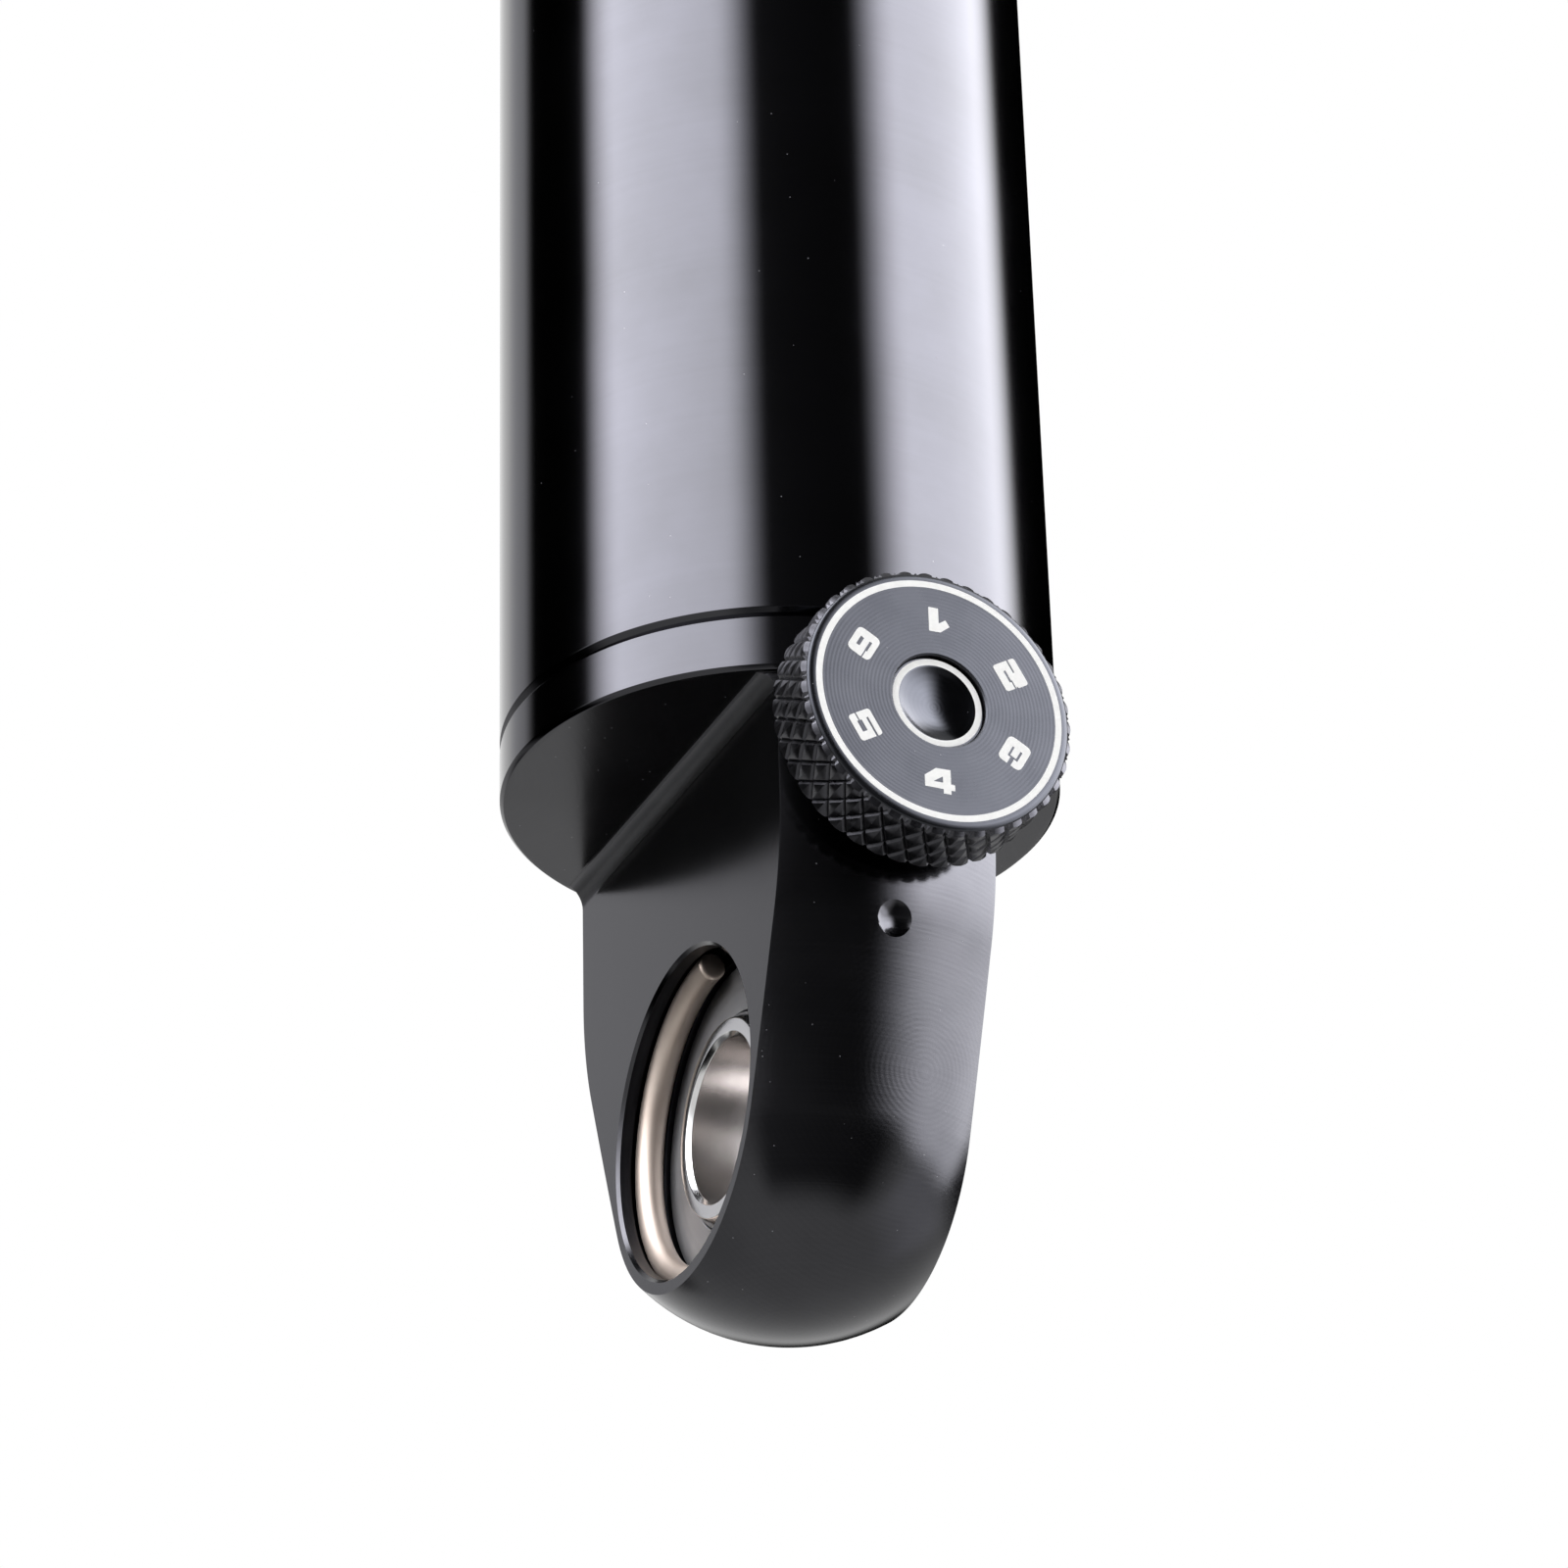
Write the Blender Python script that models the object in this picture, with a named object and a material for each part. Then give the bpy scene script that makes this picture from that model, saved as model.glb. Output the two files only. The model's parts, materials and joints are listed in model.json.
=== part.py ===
# Air-sprung rear shock for a bicycle, 230 mm between its eyelets, with 60 mm of stroke.
# Metres, +Z up. The origin is the centre of the lower eyelet. Both eyelet bolts run along X,
# the shock stands along +Z and the rebound dial faces -Y. It is drawn fully extended.

import math

import bmesh
import bpy

# Fits
CLEARANCE = 0.0003            # between pieces that seat in or slide on each other
STACK_GAP = 0.0001            # between the flat washers clamped on the piston stud

# Travel
STROKE = 0.060
DIAL_SETTINGS = 6
RESTING_SETTING = 4
LIFT_PER_SETTING = 0.0004     # rise of the metering rod from one setting to the next
DETENT_TRAVEL = 0.0004
VALVE_PIN_TRAVEL = 0.0012

# Spherical bearing, the same in both eyelets
BALL_BORE = 0.0127
BALL_LIP = 0.00134            # flat ring round the bore on each end of the ball
BALL_WIDTH = 0.0114
RACE_WALL = 0.0026
RACE_WIDTH = 0.0092
SNAP_WIRE = 0.0022
SNAP_BITE = 0.0008            # how far the wire ring stands into its groove
SNAP_OPENING = math.radians(36)
SNAP_TURN = math.radians(201)     # middle of the ring's opening, from -Z through +Y
EYE_CHAMFER = 0.0002

# Eyelet lugs, turned to a bullet nose and milled flat on both sides
LUG_THICKNESS = 0.01776
NOSE_WALL = 0.0036
NOSE_OFFSET = 0.0002          # centre of the nose, beyond the eyelet's centre
LUG_TAPER = math.radians(17.5)
LUG_BLEND = 0.0295            # radius between the taper and the straight part
LUG_FILLET = 0.0016

# End cap of the air can
DIAL_WEB = 0.00457            # metal between the bearing bore and the spindle bore
DIAL_TO_CAP = 0.00561
CAP_STEP = 0.00067            # the lug's turned part is this much inside the cap ring
CAP_RING = 0.0042
CAP_CHAMFER = 0.0003
SPIGOT_LENGTH = 0.008
SOCKET_WEB = 0.0034           # metal between the spindle bore and the shaft's socket
ORING_SECTION = 0.0018
SMALL_ORING_SECTION = 0.001
BUMPER_HEIGHT = 0.004
BUMPER_WALL = 0.005

# Air can and air valve
CAN_DIAMETER = 0.044
CAN_WALL = 0.002
CAN_CHAMFER = 0.0008
VALVE_ANGLE = math.radians(25)    # from +Y towards +X, on the back of the can
VALVE_BOSS_DIAMETER = 0.012
VALVE_BOSS_HEIGHT = 0.0025
VALVE_SHANK_DIAMETER = 0.006
VALVE_FLANGE_DIAMETER = 0.009
VALVE_FLANGE_HEIGHT = 0.0015
VALVE_STEM_DIAMETER = 0.0077
VALVE_STEM_LENGTH = 0.010
VALVE_STEM_WALL = 0.0015
VALVE_PORT_DIAMETER = 0.002
VALVE_PIN_DIAMETER = 0.0012
VALVE_PIN_SPARE = 0.0006      # pin above its core when it is pressed right in
VALVE_CORE_LENGTH = 0.009
VALVE_CAP_WALL = 0.0014

# Rebound dial
KNOB_DIAMETER = 0.0218
KNOB_STANDOFF = 0.0007        # gap between the cap ring and the back of the knob
KNOB_CHAMFER = 0.0003
KNOB_SOCKET_DEPTH = 0.00197
KNOB_WEB = 0.001
KNOB_CAP_DIAMETER = 0.0076
KNOB_CAP_THICKNESS = 0.0012
KNOB_CAP_RECESS = 0.00015
DISH_DIAMETER = 0.0062
DISH_DEPTH = 0.0006
KNOB_SCREW_DIAMETER = 0.002
KNOB_SCREW_HEAD_DIAMETER = 0.0044
KNOB_SCREW_HEAD_HEIGHT = 0.0011
KNOB_SCREW_LENGTH = 0.006
SPINDLE_DIAMETER = 0.005
SPINDLE_BORE = 0.010
SPINDLE_SHOULDER = 0.0015
GLAND_LENGTH = 0.0074
CAM_LENGTH = 0.007
CAM_RUN_ON = math.radians(15)     # spiral beyond the first and last setting
JOURNAL_DIAMETER = 0.004
JOURNAL_LENGTH = 0.0025
DETENT_BALL_DIAMETER = 0.003
DETENT_WEB = 0.0007           # metal between the spindle bore and the detent pocket
DETENT_LAND_GAP = 0.0001
DETENT_DIMPLE_DEPTH = 0.0005
DETENT_SPRING_LENGTH = 0.006
DETENT_SPRING_WIRE = 0.0005
DETENT_SPRING_TURNS = 4
INDEX_DISTANCE = 0.0144       # from the dial's axis down to the index mark on the lug
INDEX_DIAMETER = 0.0023
INDEX_DEPTH = 0.0006

# Damper
SHAFT_DIAMETER = 0.010
STUD_DIAMETER = 0.007
STUD_PROUD = 0.0005
ROD_DIAMETER = 0.0036
NEEDLE_DIAMETER = 0.0018
ROD_TIP_DIAMETER = 0.0014
NEEDLE_LENGTH = 0.0055
BLEED_LENGTH = 0.0026         # bare shaft below the piston, with the bleed port
BLEED_DIAMETER = 0.0018
AIR_PISTON_HEIGHT = 0.007
AIR_SEAL_SECTION = 0.0024
SHAFT_SPIGOT_LENGTH = 0.005
SHAFT_BUSHING_LENGTH = 0.004
SHAFT_BUSHING_WALL = 0.001
SHAFT_SEAL_LENGTH = 0.0025
SHAFT_SEAL_WALL = 0.0019
GLAND_WEB = 0.0008            # metal beside each inner groove
TOP_OUT_HEIGHT = 0.002
TOP_OUT_WALL = 0.004
SHIM_THICKNESS = 0.0004
SHIM_STEP = 0.002
PISTON_HEIGHT = 0.007
PISTON_BAND_LENGTH = 0.004
PISTON_BAND_WALL = 0.0008
PISTON_PORTS = 6
PISTON_PORT_DIAMETER = 0.0026
PISTON_PORT_CIRCLE = 0.0166
NUT_ACROSS_FLATS = 0.011
NUT_HEIGHT = 0.0035
DAMPER_DIAMETER = 0.032
DAMPER_WALL = 0.002
FLOAT_HEIGHT = 0.0065
FLOAT_RIM = 0.003
FLOAT_RECESS = 0.0022
FLOAT_MARGIN = 0.0015         # oil left over the piston at the end of the stroke
GAS_MARGIN = 0.00358          # gas left over the floating piston at the end of the stroke

# Seal head at the top of the air can
NEGATIVE_CHAMBER = 0.004
SEAL_SPIGOT_LENGTH = 0.003
GUIDE_LENGTH = 0.004
GUIDE_WALL = 0.0011
AIR_LIP_LENGTH = 0.0022
AIR_LIP_WALL = 0.0019
WIPER_SEAT = 0.0012
WIPER_WALL = 0.0018
WIPER_PROUD = 0.002
SPANNER_NOTCHES = 4
SPANNER_NOTCH_WIDTH = 0.004
SPANNER_NOTCH_LENGTH = 0.004
SPANNER_NOTCH_DEPTH = 0.0008
TRAVEL_RING_SECTION = 0.0024

# Upper eyelet
SKIRT_LENGTH = 0.010
SKIRT_WALL = 0.0027
SKIRT_CHAMFER = 0.0008
UPPER_WEB = 0.010             # metal between the gas chamber and the bearing bore
SHOULDER_ROOM = 0.00375       # from the bearing bore down to where the flats begin
GAS_PLUG_DIAMETER = 0.005
GAS_PLUG_LENGTH = 0.005
GAS_PLUG_HEX = 0.0025
GAS_PASSAGE_DIAMETER = 0.002

# Roundness: how many straight steps stand for a round stretch
LARGE_STEPS = 32
MIDDLE_STEPS = 20
SMALL_STEPS = 12
DIMPLE_STEPS = 8
ORING_STEPS = 6
NOSE_STEPS = 5
ARC_STEPS = 4
BLEND_STEPS = 3
CAM_STEPS = 33
COIL_STEPS = 8                # in each turn of the detent spring

# Modelling
CUT_MARGIN = 0.004            # how far a cutter runs past what it cuts
MERGE_DISTANCE = 1e-7
SHARP_ANGLE = math.radians(30)
BLEND_LIMIT = 0.8             # largest share of a lug's taper that its blend takes up

# Bearing sizes
ball_radius = math.hypot(BALL_BORE / 2 + BALL_LIP, BALL_WIDTH / 2)
race_inner = ball_radius + CLEARANCE
race_outer = race_inner + RACE_WALL
eye_radius = race_outer + CLEARANCE
snap_outer = eye_radius + SNAP_BITE
snap_middle = snap_outer - SNAP_WIRE / 2
snap_offset = RACE_WIDTH / 2 + 2 * CLEARANCE + SNAP_WIRE / 2
nose_radius = eye_radius + NOSE_WALL

# Radii
can_outer = CAN_DIAMETER / 2
can_inner = can_outer - CAN_WALL
can_fit = can_inner - CLEARANCE
lug_radius = can_outer - CAP_STEP
shaft_radius = SHAFT_DIAMETER / 2
shaft_bore = shaft_radius + CLEARANCE
stud_radius = STUD_DIAMETER / 2
stud_bore = stud_radius + CLEARANCE
rod_radius = ROD_DIAMETER / 2
rod_bore = rod_radius + CLEARANCE
damper_outer = DAMPER_DIAMETER / 2
damper_inner = damper_outer - DAMPER_WALL
damper_bore = damper_outer + CLEARANCE
damper_fit = damper_inner - CLEARANCE
spindle_radius = SPINDLE_DIAMETER / 2
spindle_bore = SPINDLE_BORE / 2
spindle_fit = spindle_bore - CLEARANCE
skirt_outer = damper_bore + SKIRT_WALL
float_travel = STROKE * (shaft_radius / damper_inner) ** 2

# Heights above the lower eyelet
dial_z = eye_radius + DIAL_WEB + spindle_bore
cap_z = dial_z + DIAL_TO_CAP
cap_top = cap_z + CAP_RING
can_bottom = cap_top + CLEARANCE
spigot_top = cap_top + SPIGOT_LENGTH
socket_bottom = dial_z + spindle_bore + SOCKET_WEB
bumper_bottom = spigot_top + CLEARANCE
bumper_top = bumper_bottom + BUMPER_HEIGHT
valve_z = bumper_bottom + BUMPER_HEIGHT / 2
air_piston_bottom = bumper_top + CLEARANCE + STROKE
air_piston_top = air_piston_bottom + AIR_PISTON_HEIGHT
shaft_spigot_top = air_piston_top + SHAFT_SPIGOT_LENGTH
damper_bottom = air_piston_top + CLEARANCE
top_out_bottom = shaft_spigot_top + CLEARANCE
top_out_top = top_out_bottom + TOP_OUT_HEIGHT
stud_bottom = top_out_top + BLEED_LENGTH
shim_pitch = SHIM_THICKNESS + STACK_GAP
rebound_shims = stud_bottom + STACK_GAP
piston_bottom = rebound_shims + 2 * shim_pitch
piston_top = piston_bottom + PISTON_HEIGHT
compression_shims = piston_top + STACK_GAP
nut_bottom = compression_shims + 3 * shim_pitch
nut_top = nut_bottom + NUT_HEIGHT
stud_top = nut_top + STUD_PROUD
float_bottom = stud_top + STROKE - float_travel + FLOAT_MARGIN
float_top = float_bottom + FLOAT_HEIGHT
damper_top = float_top + float_travel + GAS_MARGIN
gas_top = damper_top + CLEARANCE
upper_eye_z = gas_top + UPPER_WEB + eye_radius
skirt_bottom = gas_top - SKIRT_LENGTH
shoulder_z = upper_eye_z - eye_radius - SHOULDER_ROOM
seal_head_bottom = air_piston_top + NEGATIVE_CHAMBER
can_top = seal_head_bottom + SEAL_SPIGOT_LENGTH
flange_bottom = can_top + CLEARANCE
face_groove_top = flange_bottom + SMALL_ORING_SECTION + CLEARANCE
guide_bottom = face_groove_top + GLAND_WEB
guide_top = guide_bottom + GUIDE_LENGTH + 2 * CLEARANCE
lip_bottom = guide_top + GLAND_WEB
lip_top = lip_bottom + AIR_LIP_LENGTH + 2 * CLEARANCE
wiper_bottom = lip_top + GLAND_WEB
seal_head_top = wiper_bottom + WIPER_SEAT
wiper_top = seal_head_top + WIPER_PROUD
travel_ring_z = wiper_top + CLEARANCE + TRAVEL_RING_SECTION / 2

# Depths along the dial's axis, measured from the shock's axis towards -Y
knob_back = can_outer + KNOB_STANDOFF
gland_front = lug_radius - CLEARANCE
gland_back = gland_front - GLAND_LENGTH
spindle_ring_section = spindle_fit - spindle_radius - CLEARANCE
spindle_ring_middle = spindle_radius + CLEARANCE + spindle_ring_section / 2
spindle_ring_y = gland_back - CLEARANCE - spindle_ring_section / 2
shoulder_front = spindle_ring_y - spindle_ring_section / 2 - CLEARANCE
shoulder_back = shoulder_front - SPINDLE_SHOULDER
knob_screw_seat = KNOB_SOCKET_DEPTH + KNOB_WEB
knob_cap_seat = knob_screw_seat + CLEARANCE + KNOB_SCREW_HEAD_HEIGHT + CLEARANCE / 2
knob_cap_bottom = knob_cap_seat + CLEARANCE
knob_cap_top = knob_cap_bottom + KNOB_CAP_THICKNESS
knob_thickness = knob_cap_top + KNOB_CAP_RECESS
detent_radius = DETENT_BALL_DIAMETER / 2
detent_pocket = detent_radius + CLEARANCE
detent_circle = spindle_bore + DETENT_WEB + detent_pocket
detent_y = knob_back - DETENT_LAND_GAP - detent_radius
spring_front = detent_y - detent_radius - DETENT_TRAVEL - CLEARANCE
spring_back = spring_front - DETENT_SPRING_LENGTH

# Cam radius falls along a spiral, so that the rod's lift follows the dial at a constant ratio
setting_angle = 2 * math.pi / DIAL_SETTINGS
lift_per_radian = LIFT_PER_SETTING / setting_angle
turn_up = (DIAL_SETTINGS - RESTING_SETTING) * setting_angle
turn_down = (RESTING_SETTING - 1) * setting_angle
cam_rest_radius = spindle_fit - lift_per_radian * (turn_up + CAM_RUN_ON)
rod_tip_z = dial_z + cam_rest_radius + CLEARANCE

# Finishes: colour, roughness, metallic
FINISHES = {
    "gloss_black_anodised": ((0.012, 0.012, 0.014), 0.16, 1.0),
    "satin_black_anodised": ((0.035, 0.035, 0.037), 0.42, 1.0),
    "clear_anodised": ((0.60, 0.61, 0.63), 0.35, 1.0),
    "bearing_steel": ((0.62, 0.61, 0.60), 0.22, 1.0),
    "ball_steel": ((0.72, 0.72, 0.73), 0.10, 1.0),
    "spring_steel": ((0.48, 0.45, 0.41), 0.30, 1.0),
    "ground_steel": ((0.66, 0.66, 0.67), 0.12, 1.0),
    "brass": ((0.60, 0.44, 0.18), 0.30, 1.0),
    "bronze_bushing": ((0.36, 0.25, 0.13), 0.45, 1.0),
    "black_rubber": ((0.020, 0.020, 0.020), 0.75, 0.0),
    "grey_elastomer": ((0.16, 0.17, 0.18), 0.70, 0.0),
    "black_plastic": ((0.025, 0.025, 0.026), 0.50, 0.0),
}


def remove_scene_objects():
    for item in list(bpy.data.objects):
        bpy.data.objects.remove(item, do_unlink=True)


def make_finishes():
    made = {}
    for name, (colour, roughness, metallic) in FINISHES.items():
        material = bpy.data.materials.new(name)
        material.use_nodes = True
        shader = material.node_tree.nodes["Principled BSDF"]
        shader.inputs["Base Color"].default_value = (*colour, 1.0)
        shader.inputs["Roughness"].default_value = roughness
        shader.inputs["Metallic"].default_value = metallic
        made[name] = material
    return made


def empty(name, location=(0.0, 0.0, 0.0), rotation=(0.0, 0.0, 0.0), parent=None):
    frame = bpy.data.objects.new(name, None)
    frame.location = location
    frame.rotation_euler = rotation
    frame.parent = parent
    bpy.context.collection.objects.link(frame)
    return frame


def add(name, mesh, finish, parent, location=(0.0, 0.0, 0.0), rotation=(0.0, 0.0, 0.0)):
    # A named piece with its finish, shaded smooth between its real edges
    mesh.name = name
    mesh.shade_smooth()
    mesh.set_sharp_from_angle(angle=SHARP_ANGLE)
    piece = bpy.data.objects.new(name, mesh)
    piece.location = location
    piece.rotation_euler = rotation
    piece.parent = parent
    mesh.materials.append(materials[finish])
    bpy.context.collection.objects.link(piece)
    return piece


def add_cutter(name, mesh, parent, location=(0.0, 0.0, 0.0), rotation=(0.0, 0.0, 0.0)):
    tool = bpy.data.objects.new(name, mesh)
    tool.location = location
    tool.rotation_euler = rotation
    tool.parent = parent
    tool.hide_render = True
    tool.display_type = 'WIRE'
    bpy.context.collection.objects.link(tool)
    return tool


def combine(piece, tool, operation='DIFFERENCE'):
    modifier = piece.modifiers.new(tool.name, 'BOOLEAN')
    modifier.operation = operation
    modifier.solver = 'EXACT'
    modifier.object = tool


def finish_mesh(bm):
    bmesh.ops.remove_doubles(bm, verts=bm.verts, dist=MERGE_DISTANCE)
    bmesh.ops.recalc_face_normals(bm, faces=bm.faces)
    mesh = bpy.data.meshes.new("mesh")
    bm.to_mesh(mesh)
    bm.free()
    return mesh


def arc(centre_r, centre_z, radius, start, end, steps):
    angles = [start + (end - start) * i / steps for i in range(steps + 1)]
    return [(centre_r + radius * math.cos(a), centre_z + radius * math.sin(a)) for a in angles]


def turn_into(bm, outline, steps, turn=2 * math.pi):
    # Spins a closed outline of (radius, height) points about Z
    corners = [bm.verts.new((r, 0.0, z)) for r, z in outline]
    edges = []
    for i, corner in enumerate(corners):
        after = corners[(i + 1) % len(corners)]
        on_axis = max(corner.co.x, after.co.x) < MERGE_DISTANCE
        if not on_axis:
            edges.append(bm.edges.new((corner, after)))
    bmesh.ops.spin(bm, geom=corners + edges, cent=(0, 0, 0), axis=(0, 0, 1),
                   angle=turn, steps=steps, use_merge=True)


def turned(outline, steps):
    bm = bmesh.new()
    turn_into(bm, outline, steps)
    return finish_mesh(bm)


def ring_outline(inner, outer, low, high):
    return [(inner, low), (outer, low), (outer, high), (inner, high)]


def rod_outline(radius, low, high):
    return [(0.0, low), (radius, low), (radius, high), (0.0, high)]


def oring(middle, section, height, steps=MIDDLE_STEPS):
    # The sides of a faceted ring stay inside the true circle
    return turned(arc(middle, height, section / 2, 0.0, 2 * math.pi, ORING_STEPS)[:-1], steps)


def prism(outline, low, high):
    # Extrudes a closed outline of (x, y) points along Z
    bm = bmesh.new()
    face = bm.faces.new([bm.verts.new((x, y, low)) for x, y in outline])
    grown = bmesh.ops.extrude_face_region(bm, geom=[face])
    raised = [item for item in grown["geom"] if isinstance(item, bmesh.types.BMVert)]
    bmesh.ops.translate(bm, verts=raised, vec=(0.0, 0.0, high - low))
    return finish_mesh(bm)


def hexagon(across_flats):
    corner = across_flats / math.sqrt(3)
    return [(corner * math.cos(i * math.pi / 3), corner * math.sin(i * math.pi / 3))
            for i in range(6)]


def ball(radius, steps=SMALL_STEPS):
    bm = bmesh.new()
    bmesh.ops.create_uvsphere(bm, u_segments=steps, v_segments=steps // 2, radius=radius)
    return finish_mesh(bm)


def around(count, mesh_maker):
    # One mesh holding the same cutter at equal angles about Z
    bm = bmesh.new()
    for i in range(count):
        mesh = mesh_maker(2 * math.pi * i / count)
        bm.from_mesh(mesh)
        bpy.data.meshes.remove(mesh)
    return finish_mesh(bm)


def shifted(mesh, x, y, z):
    for corner in mesh.vertices:
        corner.co.x += x
        corner.co.y += y
        corner.co.z += z
    return mesh


def lug_outline(straight_radius):
    # Bullet nose of a lug, from its tip on the axis up to the straight part.
    # The nose points down and the eyelet's centre is at height 0.
    centre = -NOSE_OFFSET
    slope = math.tan(LUG_TAPER)
    corner_z = centre + (straight_radius - nose_radius / math.cos(LUG_TAPER)) / slope
    nose_end_z = centre - nose_radius * math.sin(LUG_TAPER)
    taper_length = max(corner_z - nose_end_z, 0.0) / math.cos(LUG_TAPER)
    tangent = min(LUG_BLEND * math.tan(LUG_TAPER / 2), BLEND_LIMIT * taper_length)
    blend = tangent / math.tan(LUG_TAPER / 2)
    nose = arc(0.0, centre, nose_radius, -math.pi / 2, -LUG_TAPER, NOSE_STEPS)
    nose[0] = (0.0, centre - nose_radius)
    return nose + arc(straight_radius - blend, corner_z + tangent, blend, -LUG_TAPER, 0.0, BLEND_STEPS)


def outline_radius(outline, height):
    # Radius of a turned outline at a height, on the first stretch that spans it
    for (r0, z0), (r1, z1) in zip(outline, outline[1:]):
        if min(z0, z1) <= height <= max(z0, z1) and z0 != z1:
            return r0 + (r1 - r0) * (height - z0) / (z1 - z0)
    return outline[-1][0]


def flat_cutter(shoulder, tip, reach):
    # Mills one side of a lug: outline of (distance from the slab's middle, height), in one
    # plane, with a fillet under the shoulder
    half = LUG_THICKNESS / 2
    side = 1.0 if shoulder > tip else -1.0
    curve = arc(half + LUG_FILLET, 0.0, LUG_FILLET, math.pi, math.pi / 2, BLEND_STEPS)
    fillet = [(x, shoulder - side * (LUG_FILLET - y)) for x, y in curve]
    outline = [(half, tip), *fillet, (reach, shoulder), (reach, tip)]
    return prism(outline, -reach, reach)


def mill_flats(piece, shoulder, tip, reach):
    # The prism's own Z turns to lie along -Y
    for side, spin in (("right", 0.0), ("left", math.pi)):
        mesh = flat_cutter(shoulder, tip, reach)
        if spin:
            for corner in mesh.vertices:
                corner.co.x = -corner.co.x
            mesh.flip_normals()
        tool = add_cutter(f"{piece.name}_{side}_flat", mesh, None, (0, 0, 0), (math.pi / 2, 0, 0))
        combine(piece, tool)


def bore_eye(piece, frame):
    # Bearing bore along the frame's Z, with a chamfer at each face and a groove for each ring
    half = LUG_THICKNESS / 2
    groove = snap_outer + CLEARANCE
    near = snap_offset - SNAP_WIRE / 2 - CLEARANCE
    far = snap_offset + SNAP_WIRE / 2 + CLEARANCE
    upper = [(eye_radius, near), (groove, near), (groove, far), (eye_radius, far),
             (eye_radius, half - EYE_CHAMFER),
             (eye_radius + EYE_CHAMFER + CUT_MARGIN, half + CUT_MARGIN),
             (0.0, half + CUT_MARGIN)]
    lower = [(r, -h) for r, h in reversed(upper)]
    combine(piece, add_cutter(f"{piece.name}_bore", turned(lower + upper, LARGE_STEPS), frame))


def spherical_bearing(prefix, race_frame, ball_frame):
    half_race = RACE_WIDTH / 2
    half_ball = BALL_WIDTH / 2
    race_angle = math.asin(half_race / race_inner)
    ball_angle = math.asin(half_ball / ball_radius)
    race = arc(0.0, 0.0, race_inner, race_angle, -race_angle, ARC_STEPS)
    race += [(race_outer, -half_race), (race_outer, half_race)]
    add(f"{prefix}_bearing_race", turned(race, MIDDLE_STEPS), "bearing_steel", race_frame)
    outline = arc(0.0, 0.0, ball_radius, -ball_angle, ball_angle, ARC_STEPS)
    outline += [(BALL_BORE / 2, half_ball), (BALL_BORE / 2, -half_ball)]
    add(f"{prefix}_bearing_ball", turned(outline, MIDDLE_STEPS), "ball_steel", ball_frame)
    for side, sign in (("left", -1.0), ("right", 1.0)):
        bm = bmesh.new()
        section = arc(snap_middle, 0.0, SNAP_WIRE / 2, 0.0, 2 * math.pi, ORING_STEPS)[:-1]
        turn_into(bm, section, MIDDLE_STEPS, 2 * math.pi - SNAP_OPENING)
        ends = [edge for edge in bm.edges if edge.is_boundary]
        bmesh.ops.holes_fill(bm, edges=ends)
        add(f"{prefix}_snap_ring_{side}", finish_mesh(bm), "spring_steel", race_frame,
            (0.0, 0.0, sign * snap_offset), (0.0, 0.0, SNAP_TURN + SNAP_OPENING / 2))


def groove_outside(radius, floor, low, high):
    return [(radius, low), (floor, low), (floor, high), (radius, high)]


def seal_groove(fit, section, low):
    # Groove of a ring seal on an outside wall: its outline points and the ring's middle
    floor = fit - section - CLEARANCE
    high = low + section + 2 * CLEARANCE
    return groove_outside(fit, floor, low, high), fit - section / 2, (low + high) / 2


def make_eyelet_cap():
    groove, ring_middle, ring_z = seal_groove(can_fit, ORING_SECTION, cap_top + ORING_SECTION)
    nose = lug_outline(lug_radius)
    outline = nose + [
        (lug_radius, cap_z),
        (can_outer - CAP_CHAMFER, cap_z),
        (can_outer, cap_z + CAP_CHAMFER),
        (can_outer, cap_top),
        (can_fit, cap_top),
        *groove,
        (can_fit, spigot_top - CAP_CHAMFER),
        (can_fit - CAP_CHAMFER, spigot_top),
        (shaft_bore, spigot_top),
        (shaft_bore, socket_bottom),
        (rod_bore, socket_bottom),
        (rod_bore, dial_z),
        (0.0, dial_z),
    ]
    cap = add("eyelet_cap", turned(outline, LARGE_STEPS), "satin_black_anodised", can_side)
    mill_flats(cap, cap_z, -nose_radius - NOSE_OFFSET - CUT_MARGIN, can_outer + CUT_MARGIN)
    bore_eye(cap, lower_eye)

    end = -CAM_LENGTH / 2 - CLEARANCE
    journal = JOURNAL_DIAMETER / 2 + CLEARANCE
    bore = [(0.0, end - JOURNAL_LENGTH), (journal, end - JOURNAL_LENGTH), (journal, end),
            (spindle_bore, end), (spindle_bore, can_outer + CUT_MARGIN),
            (0.0, can_outer + CUT_MARGIN)]
    combine(cap, add_cutter("spindle_bore", turned(bore, MIDDLE_STEPS), dial_axis))
    pocket = rod_outline(detent_pocket, spring_back - CLEARANCE, can_outer + CUT_MARGIN)
    combine(cap, add_cutter("detent_pocket", turned(pocket, SMALL_STEPS), dial_axis,
                            (0.0, -detent_circle, 0.0)))
    index_z = dial_z - INDEX_DISTANCE
    cutter_radius = (INDEX_DIAMETER ** 2 / 4 + INDEX_DEPTH ** 2) / (2 * INDEX_DEPTH)
    index_y = outline_radius(nose + [(lug_radius, cap_z)], index_z) - INDEX_DEPTH + cutter_radius
    combine(cap, add_cutter("index_mark", ball(cutter_radius), can_side, (0, -index_y, index_z)))
    add("can_oring", oring(ring_middle, ORING_SECTION, ring_z), "black_rubber", can_side)


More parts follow.
